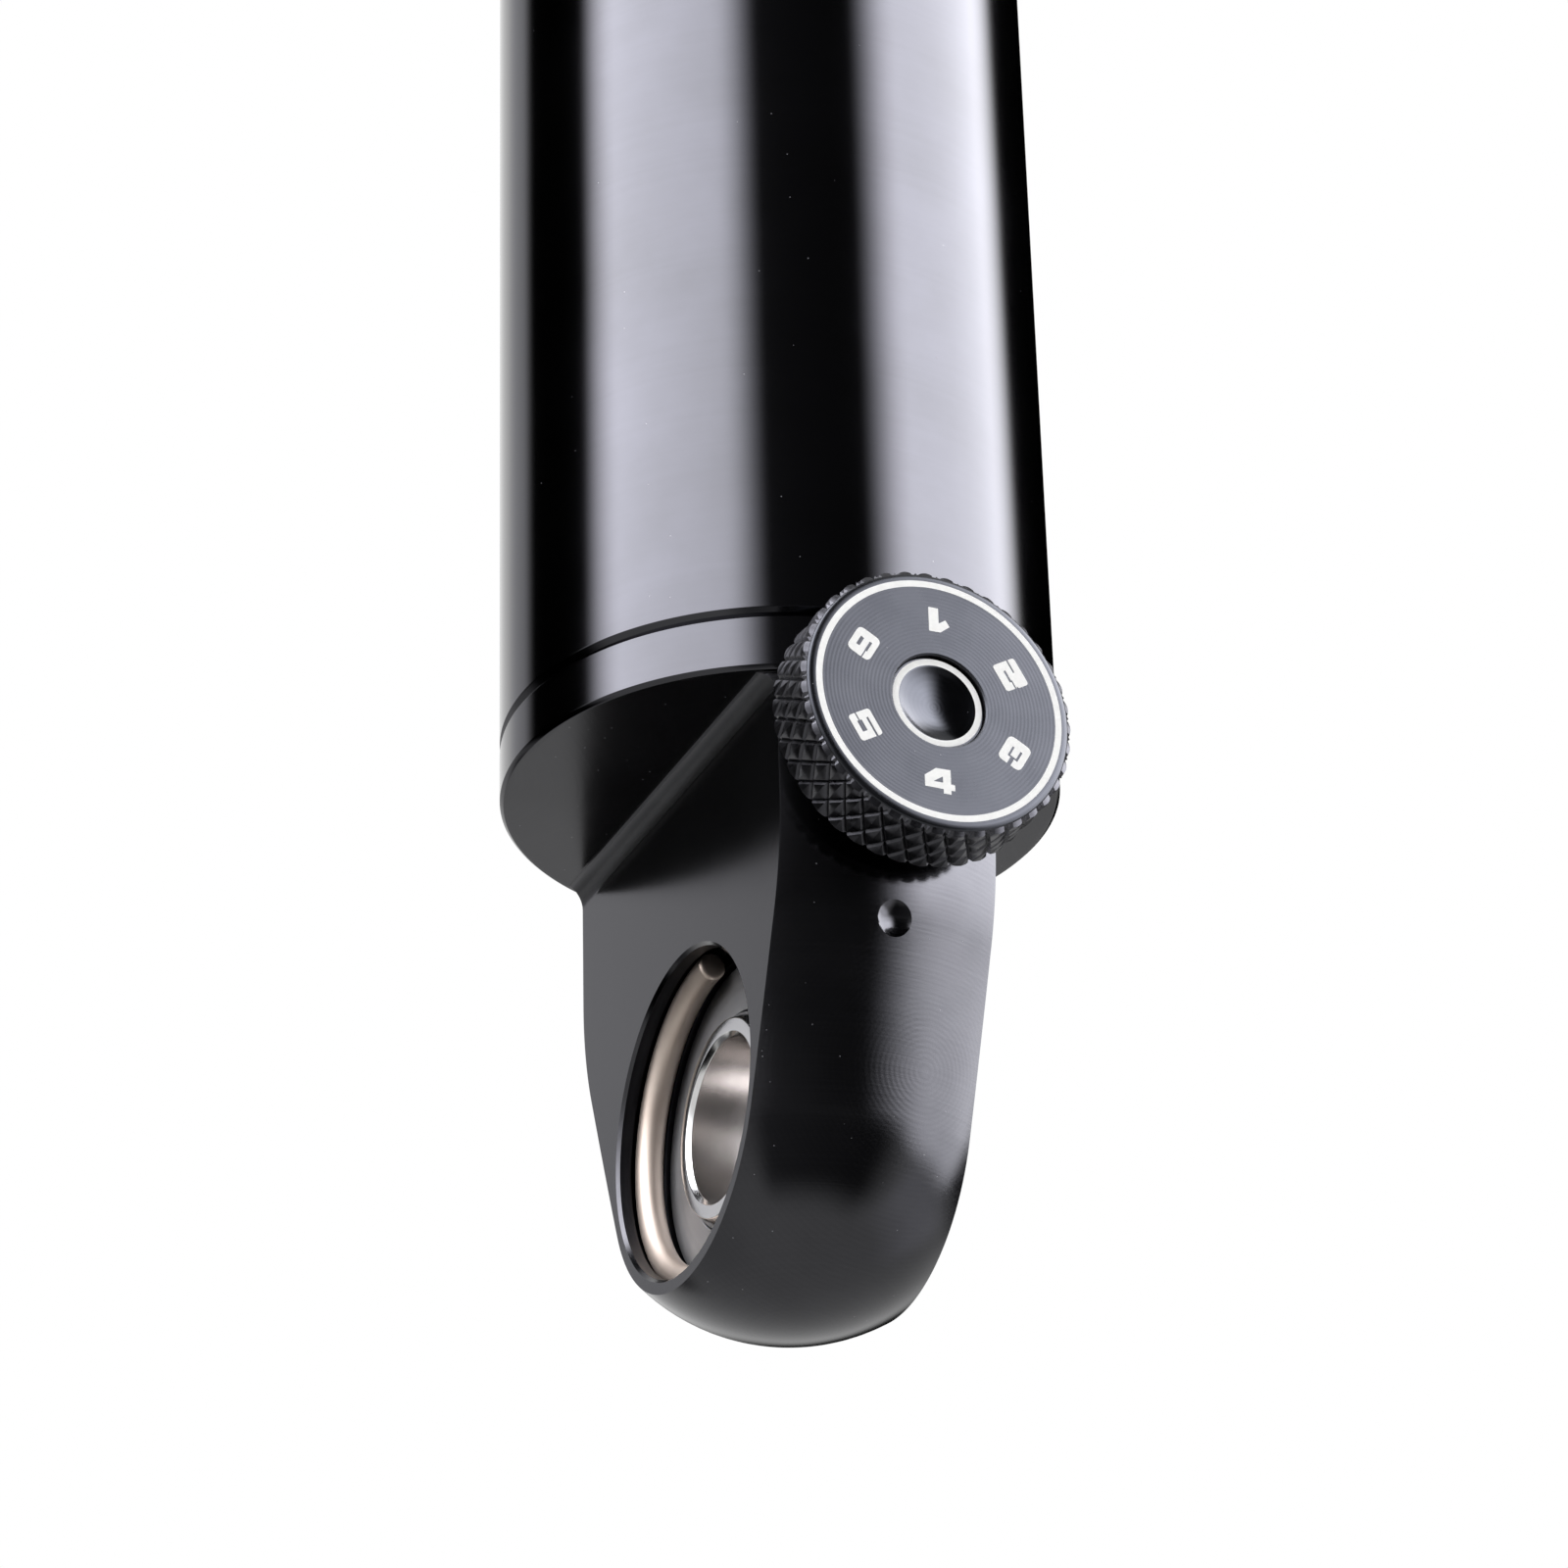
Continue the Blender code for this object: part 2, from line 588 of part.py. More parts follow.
def make_air_can():
    outline = [
        (can_inner, can_bottom),
        (can_outer - CAN_CHAMFER, can_bottom),
        (can_outer, can_bottom + CAN_CHAMFER),
        (can_outer, can_top),
        (can_inner, can_top),
    ]
    can = add("air_can", turned(outline, LARGE_STEPS), "gloss_black_anodised", can_side)
    boss_radius = VALVE_BOSS_DIAMETER / 2
    boss = rod_outline(boss_radius, can_inner + CLEARANCE, can_outer + VALVE_BOSS_HEIGHT)
    combine(can, add_cutter("valve_boss", turned(boss, MIDDLE_STEPS), valve_axis), 'UNION')
    hole = VALVE_SHANK_DIAMETER / 2 + CLEARANCE
    port = rod_outline(hole, can_inner / 2, can_outer + VALVE_BOSS_HEIGHT + CUT_MARGIN)
    combine(can, add_cutter("valve_hole", turned(port, SMALL_STEPS), valve_axis))


def make_valve():
    shank = VALVE_SHANK_DIAMETER / 2
    stem = VALVE_STEM_DIAMETER / 2
    bore = stem - VALVE_STEM_WALL
    port = VALVE_PORT_DIAMETER / 2
    flange = VALVE_FLANGE_DIAMETER / 2
    pin = VALVE_PIN_DIAMETER / 2
    bottom = can_inner + CLEARANCE
    seat = can_outer + VALVE_BOSS_HEIGHT + CLEARANCE
    flange_top = seat + VALVE_FLANGE_HEIGHT
    stem_top = flange_top + VALVE_STEM_LENGTH
    floor = bottom + VALVE_PIN_TRAVEL + CLEARANCE
    body = [(port, bottom), (shank, bottom), (shank, seat), (flange, seat), (flange, flange_top),
            (stem, flange_top), (stem, stem_top), (bore, stem_top), (bore, floor), (port, floor)]
    add("valve_body", turned(body, SMALL_STEPS), "brass", valve_axis)
    core_bottom = floor + CLEARANCE
    core_top = core_bottom + VALVE_CORE_LENGTH
    pin_top = core_top + VALVE_PIN_TRAVEL + VALVE_PIN_SPARE
    core = ring_outline(pin + CLEARANCE, bore - CLEARANCE, core_bottom, core_top)
    add("valve_core", turned(core, SMALL_STEPS), "brass", valve_axis)
    pin_outline = rod_outline(pin, core_bottom, pin_top)
    add("valve_pin", turned(pin_outline, SMALL_STEPS), "ground_steel", valve_axis)
    inner = stem + CLEARANCE
    outer = inner + VALVE_CAP_WALL
    cap_bottom = flange_top + CLEARANCE
    ceiling = max(stem_top, pin_top) + CLEARANCE
    top = ceiling + VALVE_CAP_WALL
    cap = [(inner, cap_bottom), (outer, cap_bottom), (outer, top - VALVE_CAP_WALL / 2),
           (outer - VALVE_CAP_WALL / 2, top), (0.0, top), (0.0, ceiling), (inner, ceiling)]
    add("valve_cap", turned(cap, SMALL_STEPS), "black_plastic", valve_axis)


def make_dial():
    knob_radius = KNOB_DIAMETER / 2
    cap_radius = KNOB_CAP_DIAMETER / 2
    head_radius = KNOB_SCREW_HEAD_DIAMETER / 2
    thread_radius = KNOB_SCREW_DIAMETER / 2
    hole = thread_radius + CLEARANCE
    cap_hole = max(cap_radius, head_radius) + CLEARANCE
    outline = [
        (hole, 0.0),
        (knob_radius - KNOB_CHAMFER, 0.0),
        (knob_radius, KNOB_CHAMFER),
        (knob_radius, knob_thickness - KNOB_CHAMFER),
        (knob_radius - KNOB_CHAMFER, knob_thickness),
        (cap_hole, knob_thickness),
        (cap_hole, knob_cap_seat),
        (head_radius + CLEARANCE, knob_cap_seat),
        (head_radius + CLEARANCE, knob_screw_seat),
        (hole, knob_screw_seat),
    ]
    knob = add("adjuster_knob", turned(outline, LARGE_STEPS), "satin_black_anodised", knob_frame)
    drive = (spindle_radius - CLEARANCE / 2) * math.sqrt(3)
    socket = prism(hexagon(drive + 2 * CLEARANCE), -CUT_MARGIN, KNOB_SOCKET_DEPTH)
    combine(knob, add_cutter("drive_socket", socket, knob_frame))
    dimple_radius = detent_radius + CLEARANCE
    dimple_z = DETENT_DIMPLE_DEPTH - dimple_radius

    def dimple(angle):
        x = detent_circle * math.sin(angle)
        y = -detent_circle * math.cos(angle)
        return shifted(ball(dimple_radius, DIMPLE_STEPS), x, y, dimple_z)

    combine(knob, add_cutter("detent_dimples", around(DIAL_SETTINGS, dimple), knob_frame))

    dish = DISH_DIAMETER / 2
    dish_ball = (dish ** 2 + DISH_DEPTH ** 2) / (2 * DISH_DEPTH)
    half_angle = math.asin(dish / dish_ball)
    bowl = arc(0.0, knob_cap_top - DISH_DEPTH + dish_ball, dish_ball,
               -math.pi / 2 + half_angle, -math.pi / 2, ARC_STEPS)
    bowl[-1] = (0.0, knob_cap_top - DISH_DEPTH)
    centre = [(0.0, knob_cap_bottom), (cap_radius, knob_cap_bottom), (cap_radius, knob_cap_top),
              *bowl]
    add("knob_cap", turned(centre, SMALL_STEPS), "satin_black_anodised", knob_frame)

    head_bottom = knob_screw_seat + CLEARANCE
    screw_end = head_bottom - KNOB_SCREW_LENGTH
    screw = [(0.0, screw_end), (thread_radius, screw_end), (thread_radius, head_bottom),
             (head_radius, head_bottom), (head_radius, head_bottom + KNOB_SCREW_HEAD_HEIGHT),
             (0.0, head_bottom + KNOB_SCREW_HEAD_HEIGHT)]
    add("knob_screw", turned(screw, SMALL_STEPS), "ground_steel", knob_frame)
    make_spindle(drive, hole, screw_end - CLEARANCE)
    section = spindle_ring_section
    add("spindle_oring", oring(spindle_ring_middle, section, spindle_ring_y, SMALL_STEPS),
        "black_rubber", dial_axis)
    gland = ring_outline(spindle_radius + CLEARANCE, spindle_fit, gland_back, gland_front)
    add("spindle_gland", turned(gland, SMALL_STEPS), "brass", dial_axis)


def make_spindle(drive, hole, hole_end):
    # Heights run along the dial's axis, from the shock's axis towards the knob
    tip = knob_back + KNOB_SOCKET_DEPTH - CLEARANCE
    neck = knob_back - KNOB_STANDOFF / 2
    cam_front = CAM_LENGTH / 2
    journal = JOURNAL_DIAMETER / 2
    outline = [
        (0.0, -cam_front - JOURNAL_LENGTH + CLEARANCE),
        (journal, -cam_front - JOURNAL_LENGTH + CLEARANCE),
        (journal, cam_front),
        (spindle_radius, cam_front),
        (spindle_radius, shoulder_back),
        (spindle_fit, shoulder_back),
        (spindle_fit, shoulder_front),
        (spindle_radius, shoulder_front),
        (spindle_radius, neck),
        (0.0, neck),
    ]
    spindle = add("adjuster_spindle", turned(outline, SMALL_STEPS), "ground_steel", dial_axis)
    tool = add_cutter("spindle_drive", prism(hexagon(drive), neck - CUT_MARGIN / 2, tip), dial_axis)
    combine(spindle, tool, 'UNION')

    # Polar outline of the cam: angle 90 degrees faces the rod while the dial rests
    low = math.pi / 2 - turn_up - CAM_RUN_ON
    high = math.pi / 2 + turn_down + CAM_RUN_ON
    cam = []
    for i in range(CAM_STEPS + 1):
        angle = low + (high - low) * i / CAM_STEPS
        radius = cam_rest_radius + lift_per_radian * (math.pi / 2 - angle)
        cam.append((radius * math.cos(angle), radius * math.sin(angle)))
    tool = add_cutter("snail_cam", prism(cam, -cam_front, cam_front + CLEARANCE), dial_axis)
    combine(spindle, tool, 'UNION')
    tapped = turned(rod_outline(hole, knob_back + hole_end, tip + CUT_MARGIN), SMALL_STEPS)
    combine(spindle, add_cutter("spindle_thread", tapped, dial_axis))


def make_detent():
    add("detent_ball", ball(detent_radius), "bearing_steel", dial_axis,
        (0.0, -detent_circle, detent_y))
    coil = detent_radius - DETENT_SPRING_WIRE / 2
    rise = DETENT_SPRING_LENGTH - DETENT_SPRING_WIRE
    count = DETENT_SPRING_TURNS * COIL_STEPS
    curve = bpy.data.curves.new("detent_spring", 'CURVE')
    curve.dimensions = '3D'
    curve.bevel_depth = DETENT_SPRING_WIRE / 2
    curve.bevel_resolution = 1
    curve.use_fill_caps = True
    curve.materials.append(materials["spring_steel"])
    spline = curve.splines.new('POLY')
    spline.points.add(count)
    for i, point in enumerate(spline.points):
        angle = 2 * math.pi * i / COIL_STEPS
        height = spring_back + DETENT_SPRING_WIRE / 2 + rise * i / count
        point.co = (coil * math.cos(angle), coil * math.sin(angle), height, 1.0)
    spring = bpy.data.objects.new("detent_spring", curve)
    spring.parent = dial_axis
    spring.location = (0.0, -detent_circle, 0.0)
    bpy.context.collection.objects.link(spring)


def make_metering_rod():
    tip = ROD_TIP_DIAMETER / 2
    needle = NEEDLE_DIAMETER / 2
    body_top = stud_bottom - BLEED_LENGTH
    outline = arc(0.0, rod_tip_z + tip, tip, -math.pi / 2, 0.0, BLEND_STEPS)
    outline[0] = (0.0, rod_tip_z)
    outline += [(rod_radius, rod_tip_z + 2 * rod_radius), (rod_radius, body_top),
                (needle, body_top + rod_radius - needle),
                (needle, body_top + NEEDLE_LENGTH), (0.0, body_top + NEEDLE_LENGTH)]
    add("metering_rod", turned(outline, SMALL_STEPS), "ground_steel", rod_frame)


def make_shaft():
    orifice = NEEDLE_DIAMETER / 2 + CLEARANCE
    bore_end = stud_bottom + (stud_radius - rod_bore) / 2
    bottom = socket_bottom + CLEARANCE
    outline = [(rod_bore, bottom), (shaft_radius, bottom), (shaft_radius, stud_bottom),
               (stud_radius, stud_bottom), (stud_radius, stud_top), (orifice, stud_top),
               (orifice, bore_end), (rod_bore, bore_end)]
    shaft = add("damper_shaft", turned(outline, SMALL_STEPS), "ground_steel", can_side)
    drill = rod_outline(BLEED_DIAMETER / 2, -shaft_radius - CUT_MARGIN, shaft_radius + CUT_MARGIN)
    combine(shaft, add_cutter("bleed_port", turned(drill, SMALL_STEPS), can_side,
                              (0.0, 0.0, stud_bottom - BLEED_LENGTH / 2), (0.0, math.pi / 2, 0.0)))
    bumper = ring_outline(shaft_bore, shaft_bore + BUMPER_WALL, bumper_bottom, bumper_top)
    add("bottom_out_bumper", turned(bumper, SMALL_STEPS), "grey_elastomer", can_side)
    pad = ring_outline(shaft_bore, shaft_bore + TOP_OUT_WALL, top_out_bottom, top_out_top)
    add("top_out_bumper", turned(pad, SMALL_STEPS), "grey_elastomer", can_side)


def make_piston():
    ports = PISTON_PORT_CIRCLE / 2
    port_radius = PISTON_PORT_DIAMETER / 2
    largest = ports + port_radius + SHIM_STEP / 2
    shims = [("rebound_shim_small", largest - SHIM_STEP, rebound_shims),
             ("rebound_shim_large", largest, rebound_shims + shim_pitch),
             ("compression_shim_large", largest, compression_shims),
             ("compression_shim_middle", largest - SHIM_STEP, compression_shims + shim_pitch),
             ("compression_shim_small", largest - 2 * SHIM_STEP,
              compression_shims + 2 * shim_pitch)]
    for name, radius, low in shims:
        disc = ring_outline(stud_bore, radius, low, low + SHIM_THICKNESS)
        add(name, turned(disc, SMALL_STEPS), "bearing_steel", can_side)

    middle = (piston_bottom + piston_top) / 2
    body = damper_fit - CLEARANCE
    floor = damper_fit - PISTON_BAND_WALL - CLEARANCE
    half_groove = PISTON_BAND_LENGTH / 2 + CLEARANCE
    outline = [(stud_bore, piston_bottom), (body, piston_bottom),
               *groove_outside(body, floor, middle - half_groove, middle + half_groove),
               (body, piston_top), (stud_bore, piston_top)]
    piston = add("main_piston", turned(outline, MIDDLE_STEPS), "clear_anodised", can_side)

    def port(angle):
        hole = rod_outline(port_radius, piston_bottom - CUT_MARGIN, piston_top + CUT_MARGIN)
        return shifted(turned(hole, SMALL_STEPS), ports * math.cos(angle), ports * math.sin(angle), 0.0)

    combine(piston, add_cutter("piston_ports", around(PISTON_PORTS, port), can_side))
    band = ring_outline(floor + CLEARANCE, damper_fit, middle - PISTON_BAND_LENGTH / 2,
                        middle + PISTON_BAND_LENGTH / 2)
    add("piston_band", turned(band, MIDDLE_STEPS), "bronze_bushing", can_side)
    nut = add("piston_nut", prism(hexagon(NUT_ACROSS_FLATS), nut_bottom, nut_top),
              "ground_steel", can_side)
    thread = rod_outline(stud_bore, nut_bottom - CUT_MARGIN, nut_top + CUT_MARGIN)
    combine(nut, add_cutter("nut_thread", turned(thread, SMALL_STEPS), can_side))


def make_seal_head():
    # The flange carries the guide and the seals, and a ring in its underside seals on the can
    ring_middle = can_inner + CLEARANCE + SMALL_ORING_SECTION / 2
    ring_z = flange_bottom + SMALL_ORING_SECTION / 2
    half_groove = SMALL_ORING_SECTION / 2 + CLEARANCE
    guide_wall = damper_bore + GUIDE_WALL + CLEARANCE
    lip_wall = damper_bore + AIR_LIP_WALL + CLEARANCE
    wiper_wall = damper_bore + WIPER_WALL + CLEARANCE
    outline = [
        (damper_bore, seal_head_bottom),
        (can_fit, seal_head_bottom),
        (can_fit, flange_bottom),
        (ring_middle - half_groove, flange_bottom),
        (ring_middle - half_groove, face_groove_top),
        (ring_middle + half_groove, face_groove_top),
        (ring_middle + half_groove, flange_bottom),
        (can_outer, flange_bottom),
        (can_outer, seal_head_top - CAN_CHAMFER),
        (can_outer - CAN_CHAMFER, seal_head_top),
        (wiper_wall, seal_head_top),
        (wiper_wall, wiper_bottom),
        (damper_bore, wiper_bottom),
        (damper_bore, lip_top),
        (lip_wall, lip_top),
        (lip_wall, lip_bottom),
        (damper_bore, lip_bottom),
        (damper_bore, guide_top),
        (guide_wall, guide_top),
        (guide_wall, guide_bottom),
        (damper_bore, guide_bottom),
    ]
    head = add("air_seal_head", turned(outline, MIDDLE_STEPS), "gloss_black_anodised", can_side)
    half = SPANNER_NOTCH_WIDTH / 2
    inner = can_outer - SPANNER_NOTCH_DEPTH
    outer = can_outer + CUT_MARGIN
    notch_low = seal_head_top - SPANNER_NOTCH_LENGTH

    def notch(angle):
        box = [(inner, -half), (outer, -half), (outer, half), (inner, half)]
        c, s = math.cos(angle), math.sin(angle)
        turned_box = [(x * c - y * s, x * s + y * c) for x, y in box]
        return prism(turned_box, notch_low, seal_head_top + CUT_MARGIN)

    combine(head, add_cutter("spanner_notches", around(SPANNER_NOTCHES, notch), can_side))
    add("seal_head_oring", oring(ring_middle, SMALL_ORING_SECTION, ring_z), "black_rubber", can_side)
    guide = ring_outline(damper_bore, damper_bore + GUIDE_WALL, guide_bottom + CLEARANCE,
                         guide_top - CLEARANCE)
    add("guide_bushing", turned(guide, MIDDLE_STEPS), "bronze_bushing", can_side)
    lip = ring_outline(damper_bore, damper_bore + AIR_LIP_WALL, lip_bottom + CLEARANCE,
                       lip_top - CLEARANCE)
    add("air_seal", turned(lip, MIDDLE_STEPS), "black_rubber", can_side)
    wiper = [(damper_bore, wiper_bottom + CLEARANCE),
             (damper_bore + WIPER_WALL, wiper_bottom + CLEARANCE),
             (damper_bore + WIPER_WALL, seal_head_top),
             (damper_bore + WIPER_WALL / 2, wiper_top),
             (damper_bore, wiper_top)]
    add("can_wiper", turned(wiper, LARGE_STEPS), "black_rubber", can_side)


def make_damper_body():
    tube = ring_outline(damper_inner, damper_outer, damper_bottom, damper_top)
    add("damper_body", turned(tube, LARGE_STEPS), "clear_anodised", damper_side)

    fit = can_fit - CLEARANCE
    floor = can_fit - AIR_SEAL_SECTION - CLEARANCE
    middle = (air_piston_bottom + air_piston_top) / 2
    half_groove = AIR_SEAL_SECTION / 2 + CLEARANCE
    bushing_low = air_piston_bottom + GLAND_WEB
    bushing_high = bushing_low + SHAFT_BUSHING_LENGTH + 2 * CLEARANCE
    seal_low = bushing_high + GLAND_WEB
    seal_high = seal_low + SHAFT_SEAL_LENGTH + 2 * CLEARANCE
    bushing_wall = shaft_bore + SHAFT_BUSHING_WALL + CLEARANCE
    seal_wall = shaft_bore + SHAFT_SEAL_WALL + CLEARANCE
    outline = [
        (shaft_bore, air_piston_bottom),
        (fit, air_piston_bottom),
        *groove_outside(fit, floor, middle - half_groove, middle + half_groove),
        (fit, air_piston_top),
        (damper_fit, air_piston_top),
        (damper_fit, shaft_spigot_top),
        (shaft_bore, shaft_spigot_top),
        (shaft_bore, seal_high),
        (seal_wall, seal_high),
        (seal_wall, seal_low),
        (shaft_bore, seal_low),
        (shaft_bore, bushing_high),
        (bushing_wall, bushing_high),
        (bushing_wall, bushing_low),
        (shaft_bore, bushing_low),
    ]
    add("air_piston", turned(outline, MIDDLE_STEPS), "clear_anodised", damper_side)
    add("air_piston_seal", oring(can_fit - AIR_SEAL_SECTION / 2, AIR_SEAL_SECTION, middle),
        "black_rubber", damper_side)
    bushing = ring_outline(shaft_bore, shaft_bore + SHAFT_BUSHING_WALL, bushing_low + CLEARANCE,
                           bushing_high - CLEARANCE)
    add("shaft_bushing", turned(bushing, SMALL_STEPS), "bronze_bushing", damper_side)
    seal = ring_outline(shaft_bore, shaft_bore + SHAFT_SEAL_WALL, seal_low + CLEARANCE,
                        seal_high - CLEARANCE)
    add("shaft_seal", turned(seal, SMALL_STEPS), "black_rubber", damper_side)
    add("travel_oring", oring(damper_bore + TRAVEL_RING_SECTION / 2, TRAVEL_RING_SECTION,
                              travel_ring_z), "black_rubber", travel_frame)


def make_upper_eyelet():
    ring_groove = damper_bore + SMALL_ORING_SECTION + CLEARANCE
    ring_low = skirt_bottom + SKIRT_CHAMFER + SMALL_ORING_SECTION
    ring_high = ring_low + SMALL_ORING_SECTION + 2 * CLEARANCE
    nose = [(r, upper_eye_z - z) for r, z in reversed(lug_outline(skirt_outer))]
    outline = [
        (0.0, gas_top),
        (damper_bore, gas_top),
        (damper_bore, ring_high),
        (ring_groove, ring_high),
        (ring_groove, ring_low),
        (damper_bore, ring_low),
        (damper_bore, skirt_bottom),
        (skirt_outer - SKIRT_CHAMFER, skirt_bottom),
        (skirt_outer, skirt_bottom + SKIRT_CHAMFER),
        *nose,
    ]
    eyelet = add("upper_eyelet", turned(outline, LARGE_STEPS), "satin_black_anodised", damper_side)
    tip = upper_eye_z + nose_radius + NOSE_OFFSET + CUT_MARGIN
    mill_flats(eyelet, shoulder_z, tip, skirt_outer + CUT_MARGIN)
    bore_eye(eyelet, upper_eye)

    plug = GAS_PLUG_DIAMETER / 2
    passage = GAS_PASSAGE_DIAMETER / 2
    plug_z = gas_top + UPPER_WEB / 2
    plug_top = outline_radius(list(reversed(nose)), plug_z) - CLEARANCE
    plug_bottom = plug_top - GAS_PLUG_LENGTH
    port = [(0.0, 0.0), (passage, 0.0), (passage, plug_bottom - CLEARANCE),
            (plug + CLEARANCE, plug_bottom - CLEARANCE),
            (plug + CLEARANCE, skirt_outer + CUT_MARGIN), (0.0, skirt_outer + CUT_MARGIN)]
    gas_axis = empty("gas_axis", (0.0, 0.0, plug_z), (-math.pi / 2, 0.0, 0.0), damper_side)
    combine(eyelet, add_cutter("gas_port", turned(port, SMALL_STEPS), gas_axis))
    drop = rod_outline(passage, gas_top - CUT_MARGIN, plug_z + passage / 2)
    combine(eyelet, add_cutter("gas_drop", turned(drop, SMALL_STEPS), damper_side))
    screw = add("gas_fill_plug", turned(rod_outline(plug, plug_bottom, plug_top), SMALL_STEPS),
                "ground_steel", gas_axis)
    key = prism(hexagon(GAS_PLUG_HEX), plug_top - GAS_PLUG_LENGTH / 2, plug_top + CUT_MARGIN)
    combine(screw, add_cutter("gas_plug_key", key, gas_axis))
    add("body_oring", oring(damper_bore + SMALL_ORING_SECTION / 2, SMALL_ORING_SECTION,
                            (ring_low + ring_high) / 2), "black_rubber", damper_side)


def make_floating_piston():
    section = ORING_SECTION
    low = (float_bottom + float_top) / 2 - section / 2 - CLEARANCE
    groove, ring_middle, ring_z = seal_groove(damper_fit, section, low)
    outline = [
        (0.0, float_bottom),
        (damper_fit, float_bottom),
        *groove,
        (damper_fit, float_top),
        (damper_fit - FLOAT_RIM, float_top),
        (damper_fit - FLOAT_RIM, float_top - FLOAT_RECESS),
        (0.0, float_top - FLOAT_RECESS),
    ]
    add("floating_piston", turned(outline, MIDDLE_STEPS), "clear_anodised", float_frame)
    add("floating_piston_oring", oring(ring_middle, section, ring_z), "black_rubber", float_frame)


remove_scene_objects()
materials = make_finishes()

# Frames that carry the pieces: one for the fixed side and one for each joint
can_side = empty("can_side")
along_x = (0.0, math.pi / 2, 0.0)
along_minus_y = (math.pi / 2, 0.0, 0.0)
lower_eye = empty("lower_eye", (0.0, 0.0, 0.0), along_x, can_side)
lower_ball = empty("lower_ball", (0.0, 0.0, 0.0), along_x, can_side)
dial_axis = empty("dial_axis", (0.0, 0.0, dial_z), along_minus_y, can_side)
knob_frame = empty("knob_frame", (0.0, 0.0, knob_back), (0.0, 0.0, 0.0), dial_axis)
rod_frame = empty("rod_frame", (0.0, 0.0, 0.0), (0.0, 0.0, 0.0), can_side)
valve_turn = (-math.pi / 2, 0.0, -VALVE_ANGLE)
valve_axis = empty("valve_axis", (0.0, 0.0, valve_z), valve_turn, can_side)
damper_side = empty("damper_side", (0.0, 0.0, 0.0), (0.0, 0.0, 0.0), can_side)
upper_eye = empty("upper_eye", (0.0, 0.0, upper_eye_z), along_x, damper_side)
upper_ball = empty("upper_ball", (0.0, 0.0, upper_eye_z), along_x, damper_side)
float_frame = empty("float_frame", (0.0, 0.0, 0.0), (0.0, 0.0, 0.0), damper_side)
travel_frame = empty("travel_frame", (0.0, 0.0, 0.0), (0.0, 0.0, 0.0), damper_side)

make_eyelet_cap()
make_air_can()
make_valve()
make_dial()
make_detent()
make_metering_rod()
make_shaft()
make_piston()
make_seal_head()
make_damper_body()
make_upper_eyelet()
make_floating_piston()
spherical_bearing("lower", lower_eye, lower_ball)
spherical_bearing("upper", upper_eye, upper_ball)
print(f"Eye to eye {upper_eye_z * 1000:.2f} mm, stroke {STROKE * 1000:.1f} mm")
print(f"Dial axis at {dial_z * 1000:.3f} mm, floating piston travel {float_travel * 1000:.3f} mm")
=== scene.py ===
import json
from math import asin, cos, degrees, hypot, pi, radians, sin, tan

import bmesh
import bpy
from mathutils import Matrix, Vector


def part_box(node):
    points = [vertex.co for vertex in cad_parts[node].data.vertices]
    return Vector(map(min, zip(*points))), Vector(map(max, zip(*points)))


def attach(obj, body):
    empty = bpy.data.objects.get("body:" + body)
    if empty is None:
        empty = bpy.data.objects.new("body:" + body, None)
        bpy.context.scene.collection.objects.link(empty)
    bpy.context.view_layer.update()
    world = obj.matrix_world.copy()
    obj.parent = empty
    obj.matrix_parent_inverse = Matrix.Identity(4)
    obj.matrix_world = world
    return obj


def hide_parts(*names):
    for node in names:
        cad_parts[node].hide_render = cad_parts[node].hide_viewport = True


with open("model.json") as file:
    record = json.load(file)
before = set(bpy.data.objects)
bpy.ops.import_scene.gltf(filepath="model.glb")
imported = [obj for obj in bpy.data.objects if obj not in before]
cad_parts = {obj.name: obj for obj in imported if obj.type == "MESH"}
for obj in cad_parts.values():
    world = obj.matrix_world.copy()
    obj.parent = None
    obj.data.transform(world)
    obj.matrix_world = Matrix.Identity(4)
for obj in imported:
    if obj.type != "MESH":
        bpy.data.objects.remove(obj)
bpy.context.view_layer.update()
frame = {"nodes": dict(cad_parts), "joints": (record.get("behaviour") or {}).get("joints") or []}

mm = 0.001
fitGap = 0.3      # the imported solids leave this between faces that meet
overrun = 4.0     # a cutter reaches this far past what it cuts
joints = {joint["name"]: joint for joint in frame["joints"]}


def low(node, axis):
    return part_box(node)[0]["xyz".index(axis)] / mm


def high(node, axis):
    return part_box(node)[1]["xyz".index(axis)] / mm


def halfway(node, axis):
    return (low(node, axis) + high(node, axis)) / 2


def atHeight(z):
    return Matrix.Translation((0, 0, z * mm))


def spun(turn, axis):
    return Matrix.Rotation(radians(turn), 4, axis)


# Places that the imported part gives. A turned piece is drawn with its own Z along its real axis.
upperEyeZ = joints["upper_ball_turn"]["pos_m"][2] / mm
dialZ = joints["dial_turn"]["pos_m"][2] / mm
shockPlace = Matrix.Identity(4)
flatPlace = spun(90, "X")      # drawn X and Y become world X and Z
backPlace = spun(-90, "X")     # drawn Z points away from the dial
lowerEye = spun(90, "Y")
upperEye = atHeight(upperEyeZ) @ lowerEye
dialPlace = Matrix.Translation(Vector(joints["dial_turn"]["pos_m"])) @ flatPlace
plugPlace = atHeight(halfway("gas_fill_plug", "z")) @ backPlace

# Mesh tools. Outlines are lists of (radius, height) or (x, y) points in millimetres.
meshLook = {"onAxis": 1e-6, "smoothDeg": 160, "cutShare": 0.4, "weld": 0.003}


def arc(middleX, middleY, radius, startDeg, endDeg, steps):
    points = []
    for i in range(steps + 1):
        turn = radians(startDeg + (endDeg - startDeg) * i / steps)
        points.append((middleX + radius * cos(turn), middleY + radius * sin(turn)))
    return points


def circle(middleX, middleY, radius, count=24):
    return arc(middleX, middleY, radius, 0, 360 - 360 / count, count - 1)


